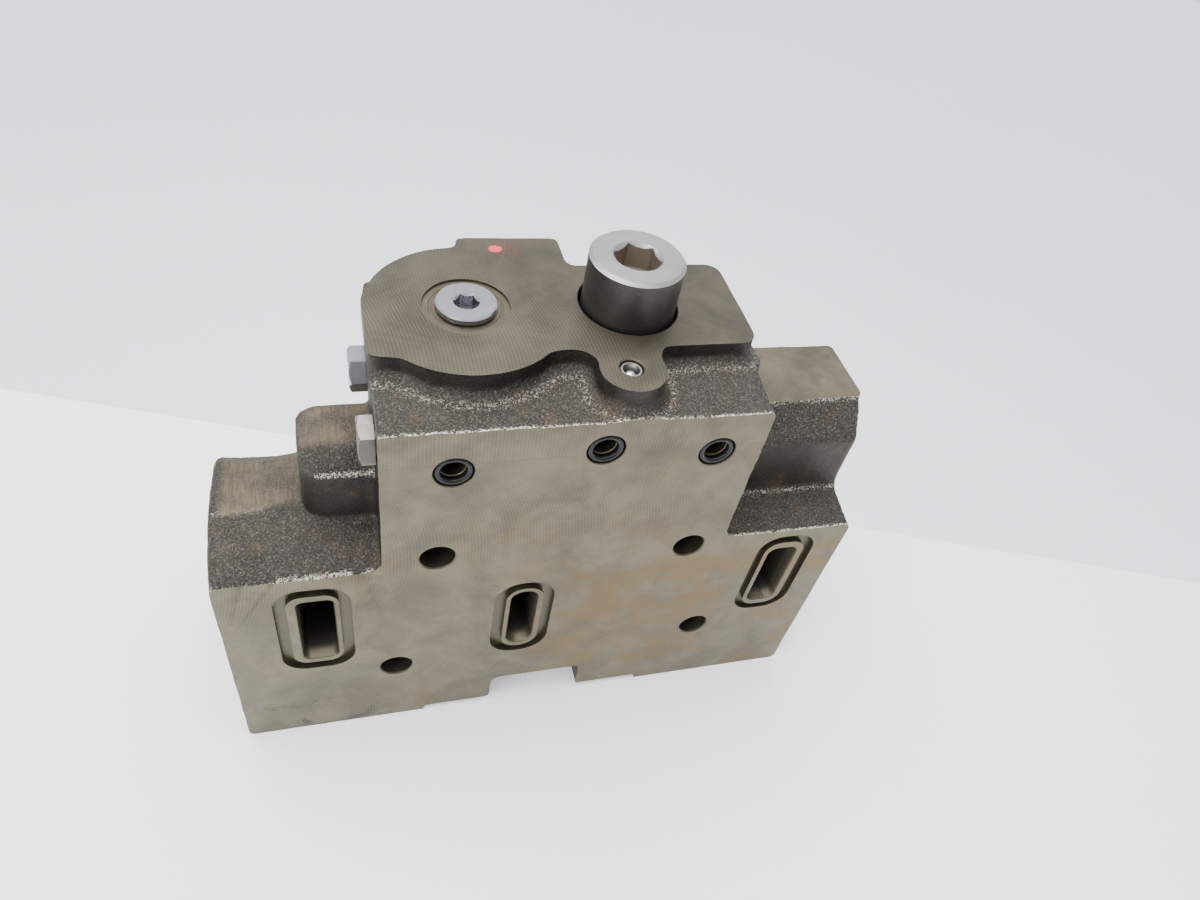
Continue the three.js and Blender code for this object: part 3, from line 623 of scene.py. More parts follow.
@finish_once
def bored():
    """Bores, seats and grooves: fine rings left by the tool, with painted shade deep inside the
    bores.
    """
    f = Finish("bored_iron")
    base = tuple(shades().milled)
    cloud = f.noise(0.2, 4.0, 0.6)
    shade = f.blend(cloud, scaled(base, 0.5), scaled(base, 0.85))
    # inside is 1 deep in the bores, away from the joint faces and below the pad: painted shade,
    # near black
    inside = f.y.step(3.2, 7.0) * f.y.step(DEPTH - 3.2, DEPTH - 7.0) * f.z.step(186.0, 180.0)
    shade = f.blend(inside * 0.85, shade, BORE_SHADE_BLACK)
    fine = f.noise(2.2, 2.0)
    rough = 0.34 + cloud * 0.15 + inside * 0.2
    return f.surface(shade, rough, 0.85 - inside * 0.3, f.bump(fine, 0.02, 0.6))


@finish_once
def cast_skin():
    """Cast skin: dark grit painted lighter on upward faces as painted top light, bright spots that
    are partly worn high points and partly painted highlights, smooth dark walls, fettled patches.
    """
    f = Finish("cast_skin")
    dark = tuple(shades().skin)
    bright = tuple(shades().skin_bright)
    wear_and_glint = f.attribute("wear_and_glint")
    grit = f.attribute("grit")
    fettled = f.attribute("fettled")
    fine = f.noise(2.1, 2.0, 0.7)
    grain = f.noise(1.15, 2.0, 0.6)
    broad = f.noise(0.05, 4.0, 0.6)
    shade = f.blend(broad.step(0.3, 0.7), scaled(dark, 0.4), scaled(dark, 0.85))
    # grit is high on upward faces, so lift and the two blends below paint upward faces lighter:
    # painted top light over the grain's own tone
    lift = (grain * 0.6 + fine * 0.4).step(0.42, 0.66) * grit
    shade = f.blend(grit * 0.45, shade, scaled(dark, 1.4))
    shade = f.blend(lift * 0.6, shade, scaled(dark, 2.8))
    rust = f.noise(0.12, 4.0, 0.65).step(0.52, 0.7)
    shade = f.blend(rust * 0.3, shade, (0.11, 0.068, 0.036))
    mixed = fine * 0.55 + grain * 0.45
    # spark paints bright glints: painted highlights on grains and along edges, partly really worn
    # skin along the edge lines
    spark = (mixed + wear_and_glint * 0.11 + grit * 0.02).step(0.56, 0.70)
    spark = (spark * (0.14 * grit + wear_and_glint * 0.95)).least(1.0)
    shade = f.blend(spark, shade, bright)
    streak = f.noise(0.5, 4.0, 0.65, stretch=(2.6, 0.3, 0.3))
    ground = f.blend(streak.step(0.2, 0.8), (0.070, 0.057, 0.040), (0.150, 0.124, 0.086))
    patchy = f.noise(0.07, 3.0, 0.6).step(0.36, 0.6)
    fettled = fettled * (0.35 + patchy * 0.6)
    shade = f.blend(fettled, shade, ground)
    rough = 0.42 - spark * 0.12 + fettled * 0.04 + broad * 0.06 + grit * 0.14
    height = (fine * 0.6 + grain * 1.3) * (0.18 + grit * 0.82) * (1 - fettled * 0.8)
    height = height + streak * fettled * 0.25
    return f.surface(shade, rough, 0.8, f.bump(height, 0.45, 1.0))


@finish_once
def turned_steel():
    """Dull turned steel with faint rings and a slight warm stain."""
    f = Finish("turned_steel")
    base = tuple(shades().steel)
    cloud = f.noise(0.12, 4.0, 0.6)
    rings = f.noise(0.9, 2.0, stretch=(0.6, 0.6, 6.0))
    shade = f.blend(cloud, scaled(base, 0.85), scaled(base, 1.1))
    warm = f.noise(0.07, 3.0).step(0.5, 0.75)
    shade = f.blend(warm * 0.25, shade, (0.32, 0.27, 0.22))
    return f.surface(shade, 0.30 + cloud * 0.12, 0.95, f.bump(rings, 0.012, 0.6))


@finish_once
def blackened_cap():
    """Turned cap: pale satin top with rings about the axis, dark phosphated side."""
    f = Finish("satin_cap")
    base = tuple(shades().steel)
    centre = middle("relief_cap")
    top = span("relief_cap", 2)[1]
    dx, dy = f.x - float(centre[0]), f.y - float(centre[1])
    out = (dx * dx + dy * dy).root()
    lid = f.z.step(top - 1.25, top - 1.15)
    cloud = f.noise(0.12, 4.0, 0.6)
    fine = f.noise(0.9, 3.0, 0.6)
    side = f.blend(cloud, (0.060, 0.056, 0.054), (0.095, 0.088, 0.083))
    side = f.blend(fine.step(0.5, 0.8) * 0.4, side, (0.13, 0.12, 0.11))
    pale = f.blend(cloud, scaled(base, 1.05), scaled(base, 1.35))
    shade = f.blend(lid, side, pale)
    inside = out.step(9.4, 9.0) * f.z.step(top - 0.9, top - 1.3)
    shade = f.blend(inside, shade, (0.30, 0.255, 0.215))
    rings = (out * (2 * math.pi / 0.55) + fine * 2.0).sine() * lid
    bands = (f.z * (2 * math.pi / 0.8) + fine * 2.0).sine() * (1 - lid)
    rough = 0.34 + cloud * 0.12 - lid * 0.04
    return f.surface(shade, rough, 0.9, f.bump(rings + bands * 0.5, 0.012, 0.6))


@finish_once
def zinc_plate():
    """Bright zinc plating with a soft satin turning grain."""
    f = Finish("zinc_plate")
    base = tuple(shades().zinc)
    cloud = f.noise(0.3, 3.0)
    fine = f.noise(3.0, 2.0)
    shade = f.blend(cloud, scaled(base, 0.88), scaled(base, 1.08))
    return f.surface(shade, 0.2 + fine * 0.1, 1.0, f.bump(fine, 0.008, 0.5))


@finish_once
def zinc_with_painted_shade():
    """Zinc plating painted darker and a little warm, as painted shade for a plug's dark facets."""
    f = Finish("zinc_with_painted_shade")
    cloud = f.noise(0.3, 3.0)
    fine = f.noise(3.0, 2.0)
    shade = f.blend(cloud, (0.125, 0.114, 0.102), (0.185, 0.169, 0.150))
    return f.surface(shade, 0.26 + fine * 0.1, 1.0, f.bump(fine, 0.012, 0.5))


@finish_once
def ground_steel():
    """Hardened and ground steel, almost mirror bright, with lengthwise scratches."""
    f = Finish("ground_steel")
    scratch = f.noise(0.7, 3.0, stretch=(0.3, 5.0, 5.0))
    shade = f.blend(scratch, (0.5, 0.5, 0.52), (0.66, 0.66, 0.68))
    return f.surface(shade, 0.14 + scratch * 0.12, 1.0, f.bump(scratch, 0.005, 0.5))


@finish_once
def spring_wire():
    """Oiled dark spring wire with drawing marks."""
    f = Finish("spring_wire")
    fine = f.noise(1.8, 3.0)
    shade = f.blend(fine, (0.06, 0.06, 0.065), (0.16, 0.155, 0.15))
    return f.surface(shade, 0.3 + fine * 0.2, 0.9, f.bump(fine, 0.02, 0.6))


@finish_once
def seal_rubber():
    """Black nitrile rubber, lightly oiled, with a faint mould haze."""
    f = Finish("seal_rubber")
    base = tuple(shades().rubber)
    haze = f.noise(0.7, 4.0, 0.6)
    shade = f.blend(haze.step(0.4, 0.8), scaled(base, 0.6), scaled(base, 1.5))
    return f.surface(shade, 0.24 + haze * 0.14, 0.0, f.bump(haze, 0.03, 0.5),
                     Specular_IOR_Level=0.22)


@finish_once
def backup_plastic():
    """Off-white sealing plastic with fine cut marks."""
    f = Finish("backup_plastic")
    fine = f.noise(0.8, 3.0)
    shade = f.blend(fine, (0.70, 0.66, 0.58), (0.85, 0.82, 0.75))
    return f.surface(shade, 0.45 + fine * 0.1, 0.0, f.bump(fine, 0.03, 0.4))


# ---------------------------------------------------------------- housing

BIG_LOBE = (95.0, 51.0, 36.2)
SMALL_LOBE = (147.0, 15.2, 12.1)
TIE_RODS = ((80.5, 119.5), (184.3, 110.2), (64.6, 43.8), (202.6, 45.2))
# hole, lip and groove of each gallery as left, right, bottom, top and corner radius, and the
# depth of the hole, or None where it runs through
GALLERIES = (
    ((28.2, 41.6, 58.8, 99.5, 2.6), (24.3, 43.7, 55.9, 103.2, 6),
     (19.7, 48.2, 51.2, 107.6, 10), 62.0),
    ((111.7, 122.7, 50.9, 89.5, 5), (109.5, 125.3, 47.8, 92, 7.4),
     (104.4, 129.9, 43.7, 96.2, 11.5), None),
    ((225.5, 238.9, 60.8, 100.6, 4), (223, 242, 57.4, 104.8, 7),
     (219.2, 246.4, 53.7, 109.3, 10.5), None),
)
# left, right and height of the notch and of the relief between the feet
NOTCH = (107.5, 150.0, 20.8)
RELIEF = (75.0, 183.0, 3.4)
WORK_PORTS = (91.0, 166.5)
END_ROUND = 2.6
FOOT_ROUND = 2.5
BEYOND = 8.0    # rough stock past each milled face
OVERRUN = 9.0   # how far a bore's cutter starts outside the face
MARGIN = 60.0   # how far a face cutter reaches past the block


def casting():
    """Sizes of the casting from the panel's property group."""
    return bpy.context.scene.casting_sizes


def mm(value):
    """A property in metres as millimetres."""
    return value / MM


def pad_outline():
    """The pad seen from above: two lobes, a straight right part and a tab at the back."""
    x, y, r = BIG_LOBE
    u, v, s = SMALL_LOBE
    return np.concatenate([
        arc(63.0, 29.8, 4.0, 180, 268, 6), [[66.5, 25.4], [70.0, 24.7]],
        arc(x, y, r, -127, -53, 22), [[119.8, 24.9], [123.5, 25.8], [128.5, 25.9], [132.2, 24.7]],
        [[134.3, 22.4]], arc(u, v, s, 158, 378, 40), [[159.2, 21.2], [160.4, 24.2]],
        arc(164.2, 21.6, 4.4, 118, 92, 4), arc(193, 32, 6, -90, 0, 8),
        arc(193.3, 69.3, 5.7, 0, 90, 8),
        arc(140.3, 79.0, 4.0, -90, -180, 8), arc(134.1, 91.2, 2.4, 0, 90, 6),
        arc(98.2, 91.4, 2.2, 90, 180, 6), [[95.8, 88.2], [94.6, 87.3]],
        arc(x, y, r, 94, 180, 26)])


def resampled(outline, spacing):
    """A closed outline with points an even distance apart along its length."""
    ring = np.concatenate([outline, outline[:1]])
    run = np.concatenate([[0], np.cumsum(np.linalg.norm(np.diff(ring, axis=0), axis=1))])
    places = np.linspace(0, run[-1], int(run[-1] / spacing) + 1)[:-1]
    return np.stack([np.interp(places, run, ring[:, k]) for k in range(2)], -1)


def rough_block():
    """Solids of the casting before its skin: profiles along X, the boss and the pad's stem."""
    c = casting()
    left, right = mm(c.raised_left), mm(c.raised_right)
    front, back, under = -BEYOND, DEPTH + BEYOND, -BEYOND
    shoulder = [
        [front, under], [back, under], [back, 79], [80, 81], [73, 86], [68, 98], [64.5, 111],
        [60.5, 119], [54.7, 122.4], [46.5, 123.4], [36, 124.6], [27, 124.8], [19, 123.7],
        [9.1, 121.4], [1.5, 116.4], [0, 113.8], [front, 111.5]]
    right_block = [
        [front, under], [back, under], [back, 113.6], [74, 118], [69, 124], [67, 140], [65.3, 152],
        [63.5, 161], [61.5, 167], [31, 167], [29.6, 161.4], [23, 151.2], [19.9, 146], [19.8, 124],
        [19.2, 119.8], [17.2, 117.8], [9, 115.6], [0, 113.4], [front, 111.5]]
    raised = [
        [front, under], [back, under], [back, 176], [84, 185], [76, 190.2], [29.5, 190.6],
        [23.2, 189.6], [14.7, 188.5], [6.2, 187.1], [0, 186.5], [front, 185.5]]
    boss = np.array([
        [19.6, 108], [19.6, 147], [22.2, 151.2], [27.2, 155.6], [31, 157.3], [46.5, 157.3],
        [50.5, 153.5], [53.5, 146], [56, 128], [57, 108]])
    t = np.linspace(0, 90, 8)
    shrink = 9.0 * (1 - np.sin(np.radians(t)))
    places = 33.4 + 9.0 * (1 - np.cos(np.radians(t)))
    centre = np.array([38.0, 130.0])
    rings = []
    for inset, x in zip(np.append(shrink, 0.0), np.append(places, left + 4)):
        ring = np.empty((len(boss), 3))
        ring[:, 0] = x
        ring[:, 1] = centre[0] + (boss[:, 0] - centre[0]) * (1 - inset / 19.0)
        ring[:, 2] = boss[:, 1] - (boss[:, 1] > 140) * inset * 0.35
        rings.append(ring)
    pad = resampled(pad_outline(), 1.6)
    skirt = mm(c.skirt)
    heights = np.array([178.0, 186.6, 187.2, 188.0, 189.2, 190.6, 192.2, mm(c.pad) + 5])
    above = np.clip(heights - 186.6, 0, skirt)
    flare = skirt - np.sqrt(np.maximum(skirt ** 2 - (skirt - above) ** 2, 0))
    flare[0] = flare[1]
    stem = []
    for z, out in zip(heights, flare):
        line = offset(pad, out)
        stem.append(np.column_stack(
            [np.maximum(line[:, 0], left - 1.2), line[:, 1], np.full(len(line), z)]))
    fillets = []
    for x, r, side in ((left, 7.5, -1), (right, 5.0, 1)):
        curve = arc(x + side * r, mm(c.shoulder) + r, r, *((0, -90) if side < 0 else (180, 270)), 8)
        outline = np.concatenate([curve, [[x - side * 3, mm(c.shoulder) - 4]],
                                  [[x - side * 3, mm(c.shoulder) + r]]])
        fillets.append(extruded(outline, front, 20.5, 1))
    return [
        extruded(raised, left, right, 0), rounded_end(shoulder, 0, left + 4),
        rounded_end(right_block, LENGTH, right - 4), loft(rings), loft(stem), *fillets]


def rounded_end(outline, end, inner):
    """A profile carried along X whose outer end shrinks along a quarter circle."""
    r = END_ROUND
    turn = np.radians(np.linspace(0, 90, 6))
    step = 1 if inner > end else -1
    sections = []
    for inset, x in zip(r * (1 - np.sin(turn)), end + step * r * (1 - np.cos(turn))):
        ring = offset(outline, -inset)
        sections.append(np.column_stack([np.full(len(ring), x), ring]))
    sections.append(np.column_stack([np.full(len(outline), inner), np.asarray(outline, float)]))
    return loft(sections)


def rear_round():
    """The part outside a quarter circle in the rear left corner of the raised part."""
    left, r = mm(casting().raised_left), mm(casting().rear_round)
    outline = np.concatenate([[[left - 1, DEPTH + 20], [left - 1, DEPTH - r]],
                              arc(left + r, DEPTH - r, r, 180, 90, 16), [[left + r, DEPTH + 20]]])
    return new_object("rear_round", *extruded(outline, 84, 240, 2))


def apply_modifiers(item):
    """Replaces the mesh of an object by its evaluated mesh, with no modifiers left."""
    graph = bpy.context.evaluated_depsgraph_get()
    mesh = bpy.data.meshes.new_from_object(item.evaluated_get(graph), depsgraph=graph)
    item.modifiers.clear()
    item.data = mesh


def carve(item, tool):
    """Takes one closed object away from another and keeps the finish of each."""
    modifier = item.modifiers.new("cut", "BOOLEAN")
    modifier.operation = "DIFFERENCE"
    modifier.solver = "MANIFOLD"
    modifier.material_mode = "TRANSFER"
    modifier.object = tool
    apply_modifiers(item)
    bpy.data.objects.remove(tool)


def distance_to_line(points, line):
    """Distance from each point to a polyline, as the least over its straight pieces."""
    best = np.full(len(points), np.inf)
    for a, b in zip(line[:-1], line[1:]):
        run = b - a
        t = np.clip((points - a) @ run / (run @ run), 0, 1)
        best = np.minimum(best, np.linalg.norm(points - a - t[:, None] * run, axis=1))
    return best


def skin(item):
    """Voxel skin of the rough block, softened, with a shallow saddle 1 - ((x - 17) / 14)^2 in
    the left shoulder, then moved along its normals by three sizes of noise, less on the smooth
    walls and the fettled patches."""
    c = casting()
    remesh = item.modifiers.new("skin", "REMESH")
    remesh.mode = "VOXEL"
    remesh.voxel_size = c.grain
    soften = item.modifiers.new("soften", "SMOOTH")
    soften.factor = 0.5
    soften.iterations = 5
    apply_modifiers(item)
    mesh = item.data
    count = len(mesh.vertices)
    co = np.empty(count * 3)
    mesh.vertices.foreach_get("co", co)
    normals = np.empty(count * 3)
    mesh.vertices.foreach_get("normal", normals)
    co, normals = co.reshape(-1, 3), normals.reshape(-1, 3)
    place = co / MM + ORIGIN
    dip = np.clip(1 - ((place[:, 0] - 17) / 14) ** 2, 0, 1) * smoothstep(place[:, 2], 62, 82)
    co[:, 1] -= 1.5 * MM * dip * smoothstep(place[:, 1], 38, 58)
    co[:, 2] -= 0.4 * MM * dip * smoothstep(place[:, 1], 34, 52)
    grit, fettled = skin_masks(place, normals)
    move = lattice_noise(place, 9.0, 3) * mm(c.lump) * (0.3 + 0.7 * grit)
    move += lattice_noise(place, 2.7, 5) * mm(c.grit) * grit
    move += lattice_noise(place, 1.7, 9) * mm(c.grit) * 0.7 * grit
    move *= 1 - 0.85 * fettled
    co += normals * (move * MM)[:, None]
    mesh.vertices.foreach_set("co", co.ravel())
    mesh.update()


def skin_masks(place, normals):
    """Grit is high on upward-facing skin and low on steep walls; it roughens the skin and also
    drives a painted top light in the shader. Fettled is 1 on the ground patches.
    """
    x, y, z = place.T
    c = casting()
    up = normals[:, 2]
    grit = 0.25 + 0.75 * smoothstep(up, 0.05, 0.55)
    wobble = lattice_noise(place, 14.0, 21) * 5
    right_slope = smoothstep(x, mm(c.raised_right) - 1, mm(c.raised_right) + 1)
    right_slope *= smoothstep(z, 147, 149) * smoothstep(y, 36, 33)
    grit = np.maximum(grit, right_slope * 1.5)
    boss_top = smoothstep(x, 31, 36) * smoothstep(x, 63, 59) * smoothstep(z, 150, 154)
    boss_top *= smoothstep(y + wobble * 0.4, 25, 29)
    strip = smoothstep(x, 2, 6) * smoothstep(x + wobble, 36, 32) * smoothstep(z, 117, 120)
    strip *= smoothstep(y + wobble * 0.6, 25, 28) * smoothstep(y + wobble, 84, 76)
    strip *= smoothstep(z, 130, 126)
    fettled = np.maximum(boss_top, strip) * smoothstep(up, 0.5, 0.8)
    return grit, fettled


def wear_and_glint_lines():
    """Where the skin is painted bright, partly worn and partly painted highlights on edges that
    catch the light: strength, reach, core and the points of each line.
    """
    c = casting()
    left, right, top, low = mm(c.raised_left), mm(c.raised_right), mm(c.ledge), mm(c.shoulder)
    rim = [[0, 0, low], [left - 7, 0, low], [left, 0, low + 7], [left, 0, top],
           [right, 0, top], [right, 0, low + 5], [right + 5, 0, low], [LENGTH, 0, low]]
    return (
        (1.1, 1.7, 0.2, rim),
        (1.0, 2.4, 0.4, [[34, 19.6, 148], [left, 19.6, 148]]),
        (0.8, 3.0, 0.5, [[right, 30.5, 162.3], [LENGTH, 30.5, 162.3]]),
        (0.7, 2.0, 0.3, [[right, 18.6, 118.6], [LENGTH, 18.6, 118.6]]),
        (1.1, 2.4, 0.3, [[40, 18.2, 121.5], [left - 6, 17.4, 121.5]]),
        (1.0, 2.6, 0.6, [[24, 0.6, low + 0.6], [left - 12, 0.8, low + 0.8]]),
        (0.6, 2.0, 0.3, [[2, 26, 124.5], [18, 26.5, 124.8]]))


def write_masks(item):
    """Stores grit, fettled and the mask of worn and glinting skin on the points of the finished
    housing. That mask is partly really worn skin and partly painted highlight on edges; it falls
    off with the distance to each of its lines and to the foot of the pad's skirt."""
    mesh = item.data
    count = len(mesh.vertices)
    co = np.empty(count * 3)
    mesh.vertices.foreach_get("co", co)
    normals = np.empty(count * 3)
    mesh.vertices.foreach_get("normal", normals)
    place = co.reshape(-1, 3) / MM + ORIGIN
    grit, fettled = skin_masks(place, normals.reshape(-1, 3))
    skirt = offset(resampled(pad_outline(), 3.0), mm(casting().skirt) * 0.75)
    near = distance_to_line(place[:, :2], np.vstack([skirt, skirt[:1]]))
    # a bright band at the foot of the pad's skirt: painted highlight along the edge, partly worn
    # skin
    wear_and_glint = 0.5 * smoothstep(near, 3.0, 0.2) * smoothstep(place[:, 2], 186, 187.5)
    wear_and_glint = wear_and_glint * smoothstep(place[:, 2], 191.5, 189.5) * smoothstep(place[:, 1], 60, 40)
    for strength, reach, core, line in wear_and_glint_lines():
        away = distance_to_line(place, np.array(line))
        wear_and_glint = np.maximum(wear_and_glint, strength * smoothstep(away, reach, core))
    for name, values in (("grit", grit), ("fettled", fettled), ("wear_and_glint", wear_and_glint)):
        layer = mesh.attributes.new(name, "FLOAT", "POINT")
        layer.data.foreach_set("value", values.astype(np.float32))


def slab(lo, hi, height, axis):
    """A box wider than the block, from lo to hi along an axis, to mill a face with."""
    far = LENGTH + MARGIN
    return extruded([[-MARGIN, -MARGIN], [far, -MARGIN], [far, height], [-MARGIN, height]],
                    lo, hi, axis)


def milled_shapes():
    """Boxes that mill the joint faces, the underside, the pad and the right shoulder, and the
    corner pieces outside a quarter circle that round the two lower ends."""
    c = casting()
    face, pad = milled_face(), milled_pad()
    top, flat, start = mm(c.pad), mm(c.shoulder_flat), mm(c.raised_right) + 0.9
    far = LENGTH + MARGIN
    shapes = [
        (slab(-MARGIN, 0, 300, 1), face), (slab(DEPTH, DEPTH + MARGIN, 300, 1), face),
        (slab(-MARGIN, 0, 200, 2), face), (slab(top, top + MARGIN, 200, 2), pad),
        (extruded([[start, 10], [far, 10], [far, 90], [start, 90]], flat, flat + 14, 2), face)]
    r = FOOT_ROUND
    foot = np.concatenate([[[-4, -4], [r, -4]], arc(r, r, r, -90, -180, 6), [[-4, r]]])
    other = foot * [-1, 1] + [LENGTH, 0]
    return shapes + [(extruded(line, -20, DEPTH + 20, 1), face) for line in (foot, other)]


def gallery_shapes(groove_depth):
    """A ring between groove and lip, and a hole with a chamfered mouth, for each gallery."""
    shapes = []
    for hole, lip, groove, reach in GALLERIES:
        outer, inner, mouth = rounded_box(*groove), rounded_box(*lip), rounded_box(*hole)
        rows = [at_depth(line, y) for line, y in (
            (outer, -5.0), (outer, groove_depth), (inner, groove_depth), (inner, -5.0))]
        grid = np.stack(rows)
        shapes.append((grid.reshape(-1, 3), grid_faces(4, grid.shape[1], wrap_rows=True)))
        depth = reach or DEPTH + OVERRUN
        shapes.append(loft([at_depth(offset(mouth, out), y) for out, y in (
            (0.5, -5.0), (0.5, 0.0), (0.0, 0.6), (0.0, depth))]))
    return shapes


def at_depth(line, y):
    """An outline of (x, z) points carried to a depth y behind the joint face."""
    return np.column_stack([line[:, 0], np.full(len(line), y), line[:, 1]])


def bored_shapes():
    """Turned shapes of the tie-rod holes and galleries, then ports, spool bore and cavities.
    Each profile is a list of (place along the axis, radius)."""
    o = bpy.context.scene.opening_sizes
    top, wall = mm(casting().pad), mm(casting().raised_left)
    tie, seat, port = mm(o.tie_rod), mm(o.port_seat), mm(o.port_bore)
    back = DEPTH + OVERRUN
    shapes = [turned([
        (-OVERRUN, 0), (-OVERRUN, tie + 0.5), (0, tie + 0.5), (0.5, tie), (DEPTH - 0.5, tie),
        (DEPTH, tie + 0.5), (back, tie + 0.5), (back, 0)], (x, 0, z), 1, 64)
        for x, z in TIE_RODS]
    shapes += gallery_shapes(mm(o.groove))
    for side in ("left", "middle", "right"):
        x, _, z = middle("port_oring_" + side)
        shapes.append(turned([
            (-OVERRUN, 0), (-OVERRUN, seat + 0.3), (0, seat + 0.3), (0.3, seat), (2.9, seat),
            (2.9, port + 0.3), (3.2, port), (18, port), (20, 0)], (x, 0, z), 1, 64))
    spool = middle("main_spool")
    flange, hole, spot_ring = 15.0, 12.0, 22.0
    half = [(-OVERRUN, 0), (-OVERRUN, spot_ring), (0.4, spot_ring), (0.4, flange + 0.8),
            (1.2, flange), (14, flange), (14, hole)]
    shapes.append(turned(half + mirrored_rings(half)[::-1], spool, 0, 96))
    ring, over = mm(o.cap_seat), top + OVERRUN
    shapes.append(turned([
        (84, 0), (84, 5), (118.7, 5), (118.7, 10), (152, 10), (152, 16.5), (189.6, 16.5),
        (189.6, ring), (top - 0.3, ring), (top, ring + 0.3), (over, ring + 0.3), (over, 0)],
        middle("relief_cap"), 2, 128))
    spot = mm(o.spotface)
    shapes.append(turned([
        (84, 0), (84, 3), (150, 3), (150, 5), (160, 5), (160, 8.5), (194.4, 8.5), (194.4, 10.2),
        (top - 0.8, 10.2), (top - 0.8, 12.3), (top - 1.0, 12.5), (top - 1.0, 13.2),
        (top - 0.8, 13.4), (top - 0.8, spot), (over, spot), (over, 0)],
        middle("check_plug"), 2, 128))
    shapes.append(turned([
        (wall - 3, 0), (wall - 3, 11.5), (wall - 0.2, 11.5), (wall - 0.2, 7.4), (62.4, 7.4),
        (62.4, 6), (76, 6), (76, 4), (84, 4), (84, 0)], middle("shuttle_plug"), 0, 64))
    shapes.append(turned([
        (wall - 3, 0), (wall - 3, 9.6), (wall - 0.2, 9.6), (wall - 0.2, 6.4), (62.2, 6.4),
        (62.2, 5), (86, 5), (88, 0)], middle("ls_plug_oring"), 0, 64))
    shapes.append(turned([
        (176, 0), (176, 2.2), (185, 2.2), (185, 4.3), (top - 0.4, 4.3), (top, 4.7),
        (over, 4.7), (over, 0)], middle("expander_sleeve"), 2, 64))
    for x in WORK_PORTS:
        shapes.append(turned([(-OVERRUN, 0), (-OVERRUN, 15), (5.4, 15), (7.4, 12), (78.5, 12),
                              (78.5, 0)], (x, spool[1], 0), 2, 64))
    return [(shape, bored()) for shape in shapes]


def underside(item):
    """Takes the relief between the feet and the notch out of the rough block."""
    left, right, height = RELIEF
    relief = extruded([[left, -40], [right, -40], [right - 1.5, height], [left + 1.5, height]],
                      -40, DEPTH + 40, 1)
    carve(item, new_object("relief", *relief))
    left, right, height = NOTCH
    outline = np.concatenate([[[left, -40], [right, -40]], arc(right - 1, height - 1, 1, 0, 90, 3),
                              arc(left + 4, height - 4, 4, 90, 180, 6)])
    carve(item, new_object("notch", *extruded(outline, -40, DEPTH + 40, 1)))


def built_housing():
    """The rough blocks joined into one, skinned, then cut by every milled and bored shape."""
    blocks = [new_object("block", *shape) for shape in rough_block()]
    body = blocks[0]
    carve(body, rear_round())
    for block in blocks[1:]:
        modifier = body.modifiers.new("join", "BOOLEAN")
        modifier.operation = "UNION"
        modifier.solver = "MANIFOLD"
        modifier.object = block
        apply_modifiers(body)
        bpy.data.objects.remove(block)
    body.name = "cast_housing"
    underside(body)
    body.data.materials.clear()
    skin(body)
    body.data.materials.append(cast_skin())
    for shape, finish in milled_shapes() + bored_shapes():
        carve(body, new_object("cutter", *shape, [finish]))
    body.data.name = "cast_housing"
    write_masks(body)
    body.data.shade_smooth()
    body.data.set_sharp_from_angle(angle=math.radians(42))
    return body


# ---------------------------------------------------------------- turned pieces

# coil radius, wire radius and turns of each spring
CENTRING_COIL = (5.1, 0.9, 6)
RELIEF_COIL = (4.3, 0.9, 9)
CHECK_COIL = (4.0, 0.7, 6)
SENSING_COIL = (3.4, 0.6, 5)
# angle of one corner of each hexagon about its axis, in degrees
CAP_TURN, CHECK_TURN, END_TURN = 37.5, 52.5, 0
SHUTTLE_TURN, SENSING_TURN = 12, -2
HEAD_SEAT = 59.9
SHARP = 22.0


def socket_rings(face, inward, depth, flats, turn, steps=144):
    """Rings of a hexagon socket from its drilled bottom to the face: each is the larger of
    the hexagon and a 40-degree cone, so the mouth is scalloped at the corners."""
    wall = hexagon(flats, turn, steps)
    corner = flats / 2 / math.cos(math.pi / 6)
    rings = [(face + inward * (depth + flats * 0.14), 0), (face + inward * depth, flats * 0.47),
             (face + inward * depth, wall)]
    for down in (1.5, 1.2, 0.9, 0.6, 0.3, 0.0):
        cone = corner + (0.02 - 0.06 * down) * flats
        rings.append((face + inward * down * flats / 15, np.maximum(wall, cone)))
    return rings


def hexagon_head(outer, inner, flats, turn, steps=144):
    """Rings of a hexagon head from the middle of its outer face: the smaller of the hexagon
    and a 30-degree cone rounds the corners off."""
    wall = hexagon(flats, turn, steps)
    rings = [(outer + 0.5, 0), (outer + 0.5, flats * 0.26), (outer, flats * 0.28)]
    for down in (0.0, 0.25, 0.5, 0.75, 1.0, 1.3):
        rings.append((outer + down, np.minimum(wall, flats * 0.475 + down * 1.7)))
    rings.append((inner, wall))
    return rings


def groove_rings(places, radius, depth=0.35, width=0.5):
    """Rings of narrow balancing grooves in a cylinder."""
    rings = []
    for place in places:
        rings += [(place, radius), (place + 0.1, radius - depth),
                  (place + width - 0.1, radius - depth), (place + width, radius)]
    return rings


def edged(at, radius, inward, chamfer=0.4):
    """Two rings that break the edge between a cylinder and a face."""
    return [(at, radius - chamfer), (at + inward * chamfer, radius)]


def add_turned(node, rings, centre, axis, finish, steps=96, closed=False, smooth=SHARP):
    """A turned mesh object named after the CAD node that it stands for."""
    shape = turned(rings, centre, axis, steps, closed)
    return new_object("visual_" + node, *shape, [finish], smooth)


def add_piece(node, rings, centre, axis, finish, slot, body="valve_body", **more):
    """A turned piece that rides a body in place of its CAD node."""
    place_piece(add_turned(node, rings, centre, axis, finish, **more), body, slot, node)


def mirrored_rings(rings):
    """The same rings at the other end of the block."""
    return [(LENGTH - at, radius) for at, radius in rings]


def seal(node, axis, ring, tube, at):
    """A sealing ring: a torus of radius ring and tube about the node's axis."""
    add_piece(node, torus_rings(ring, tube, at), middle(node), axis, seal_rubber(),
              "nitrile_rubber", closed=True, smooth=80)


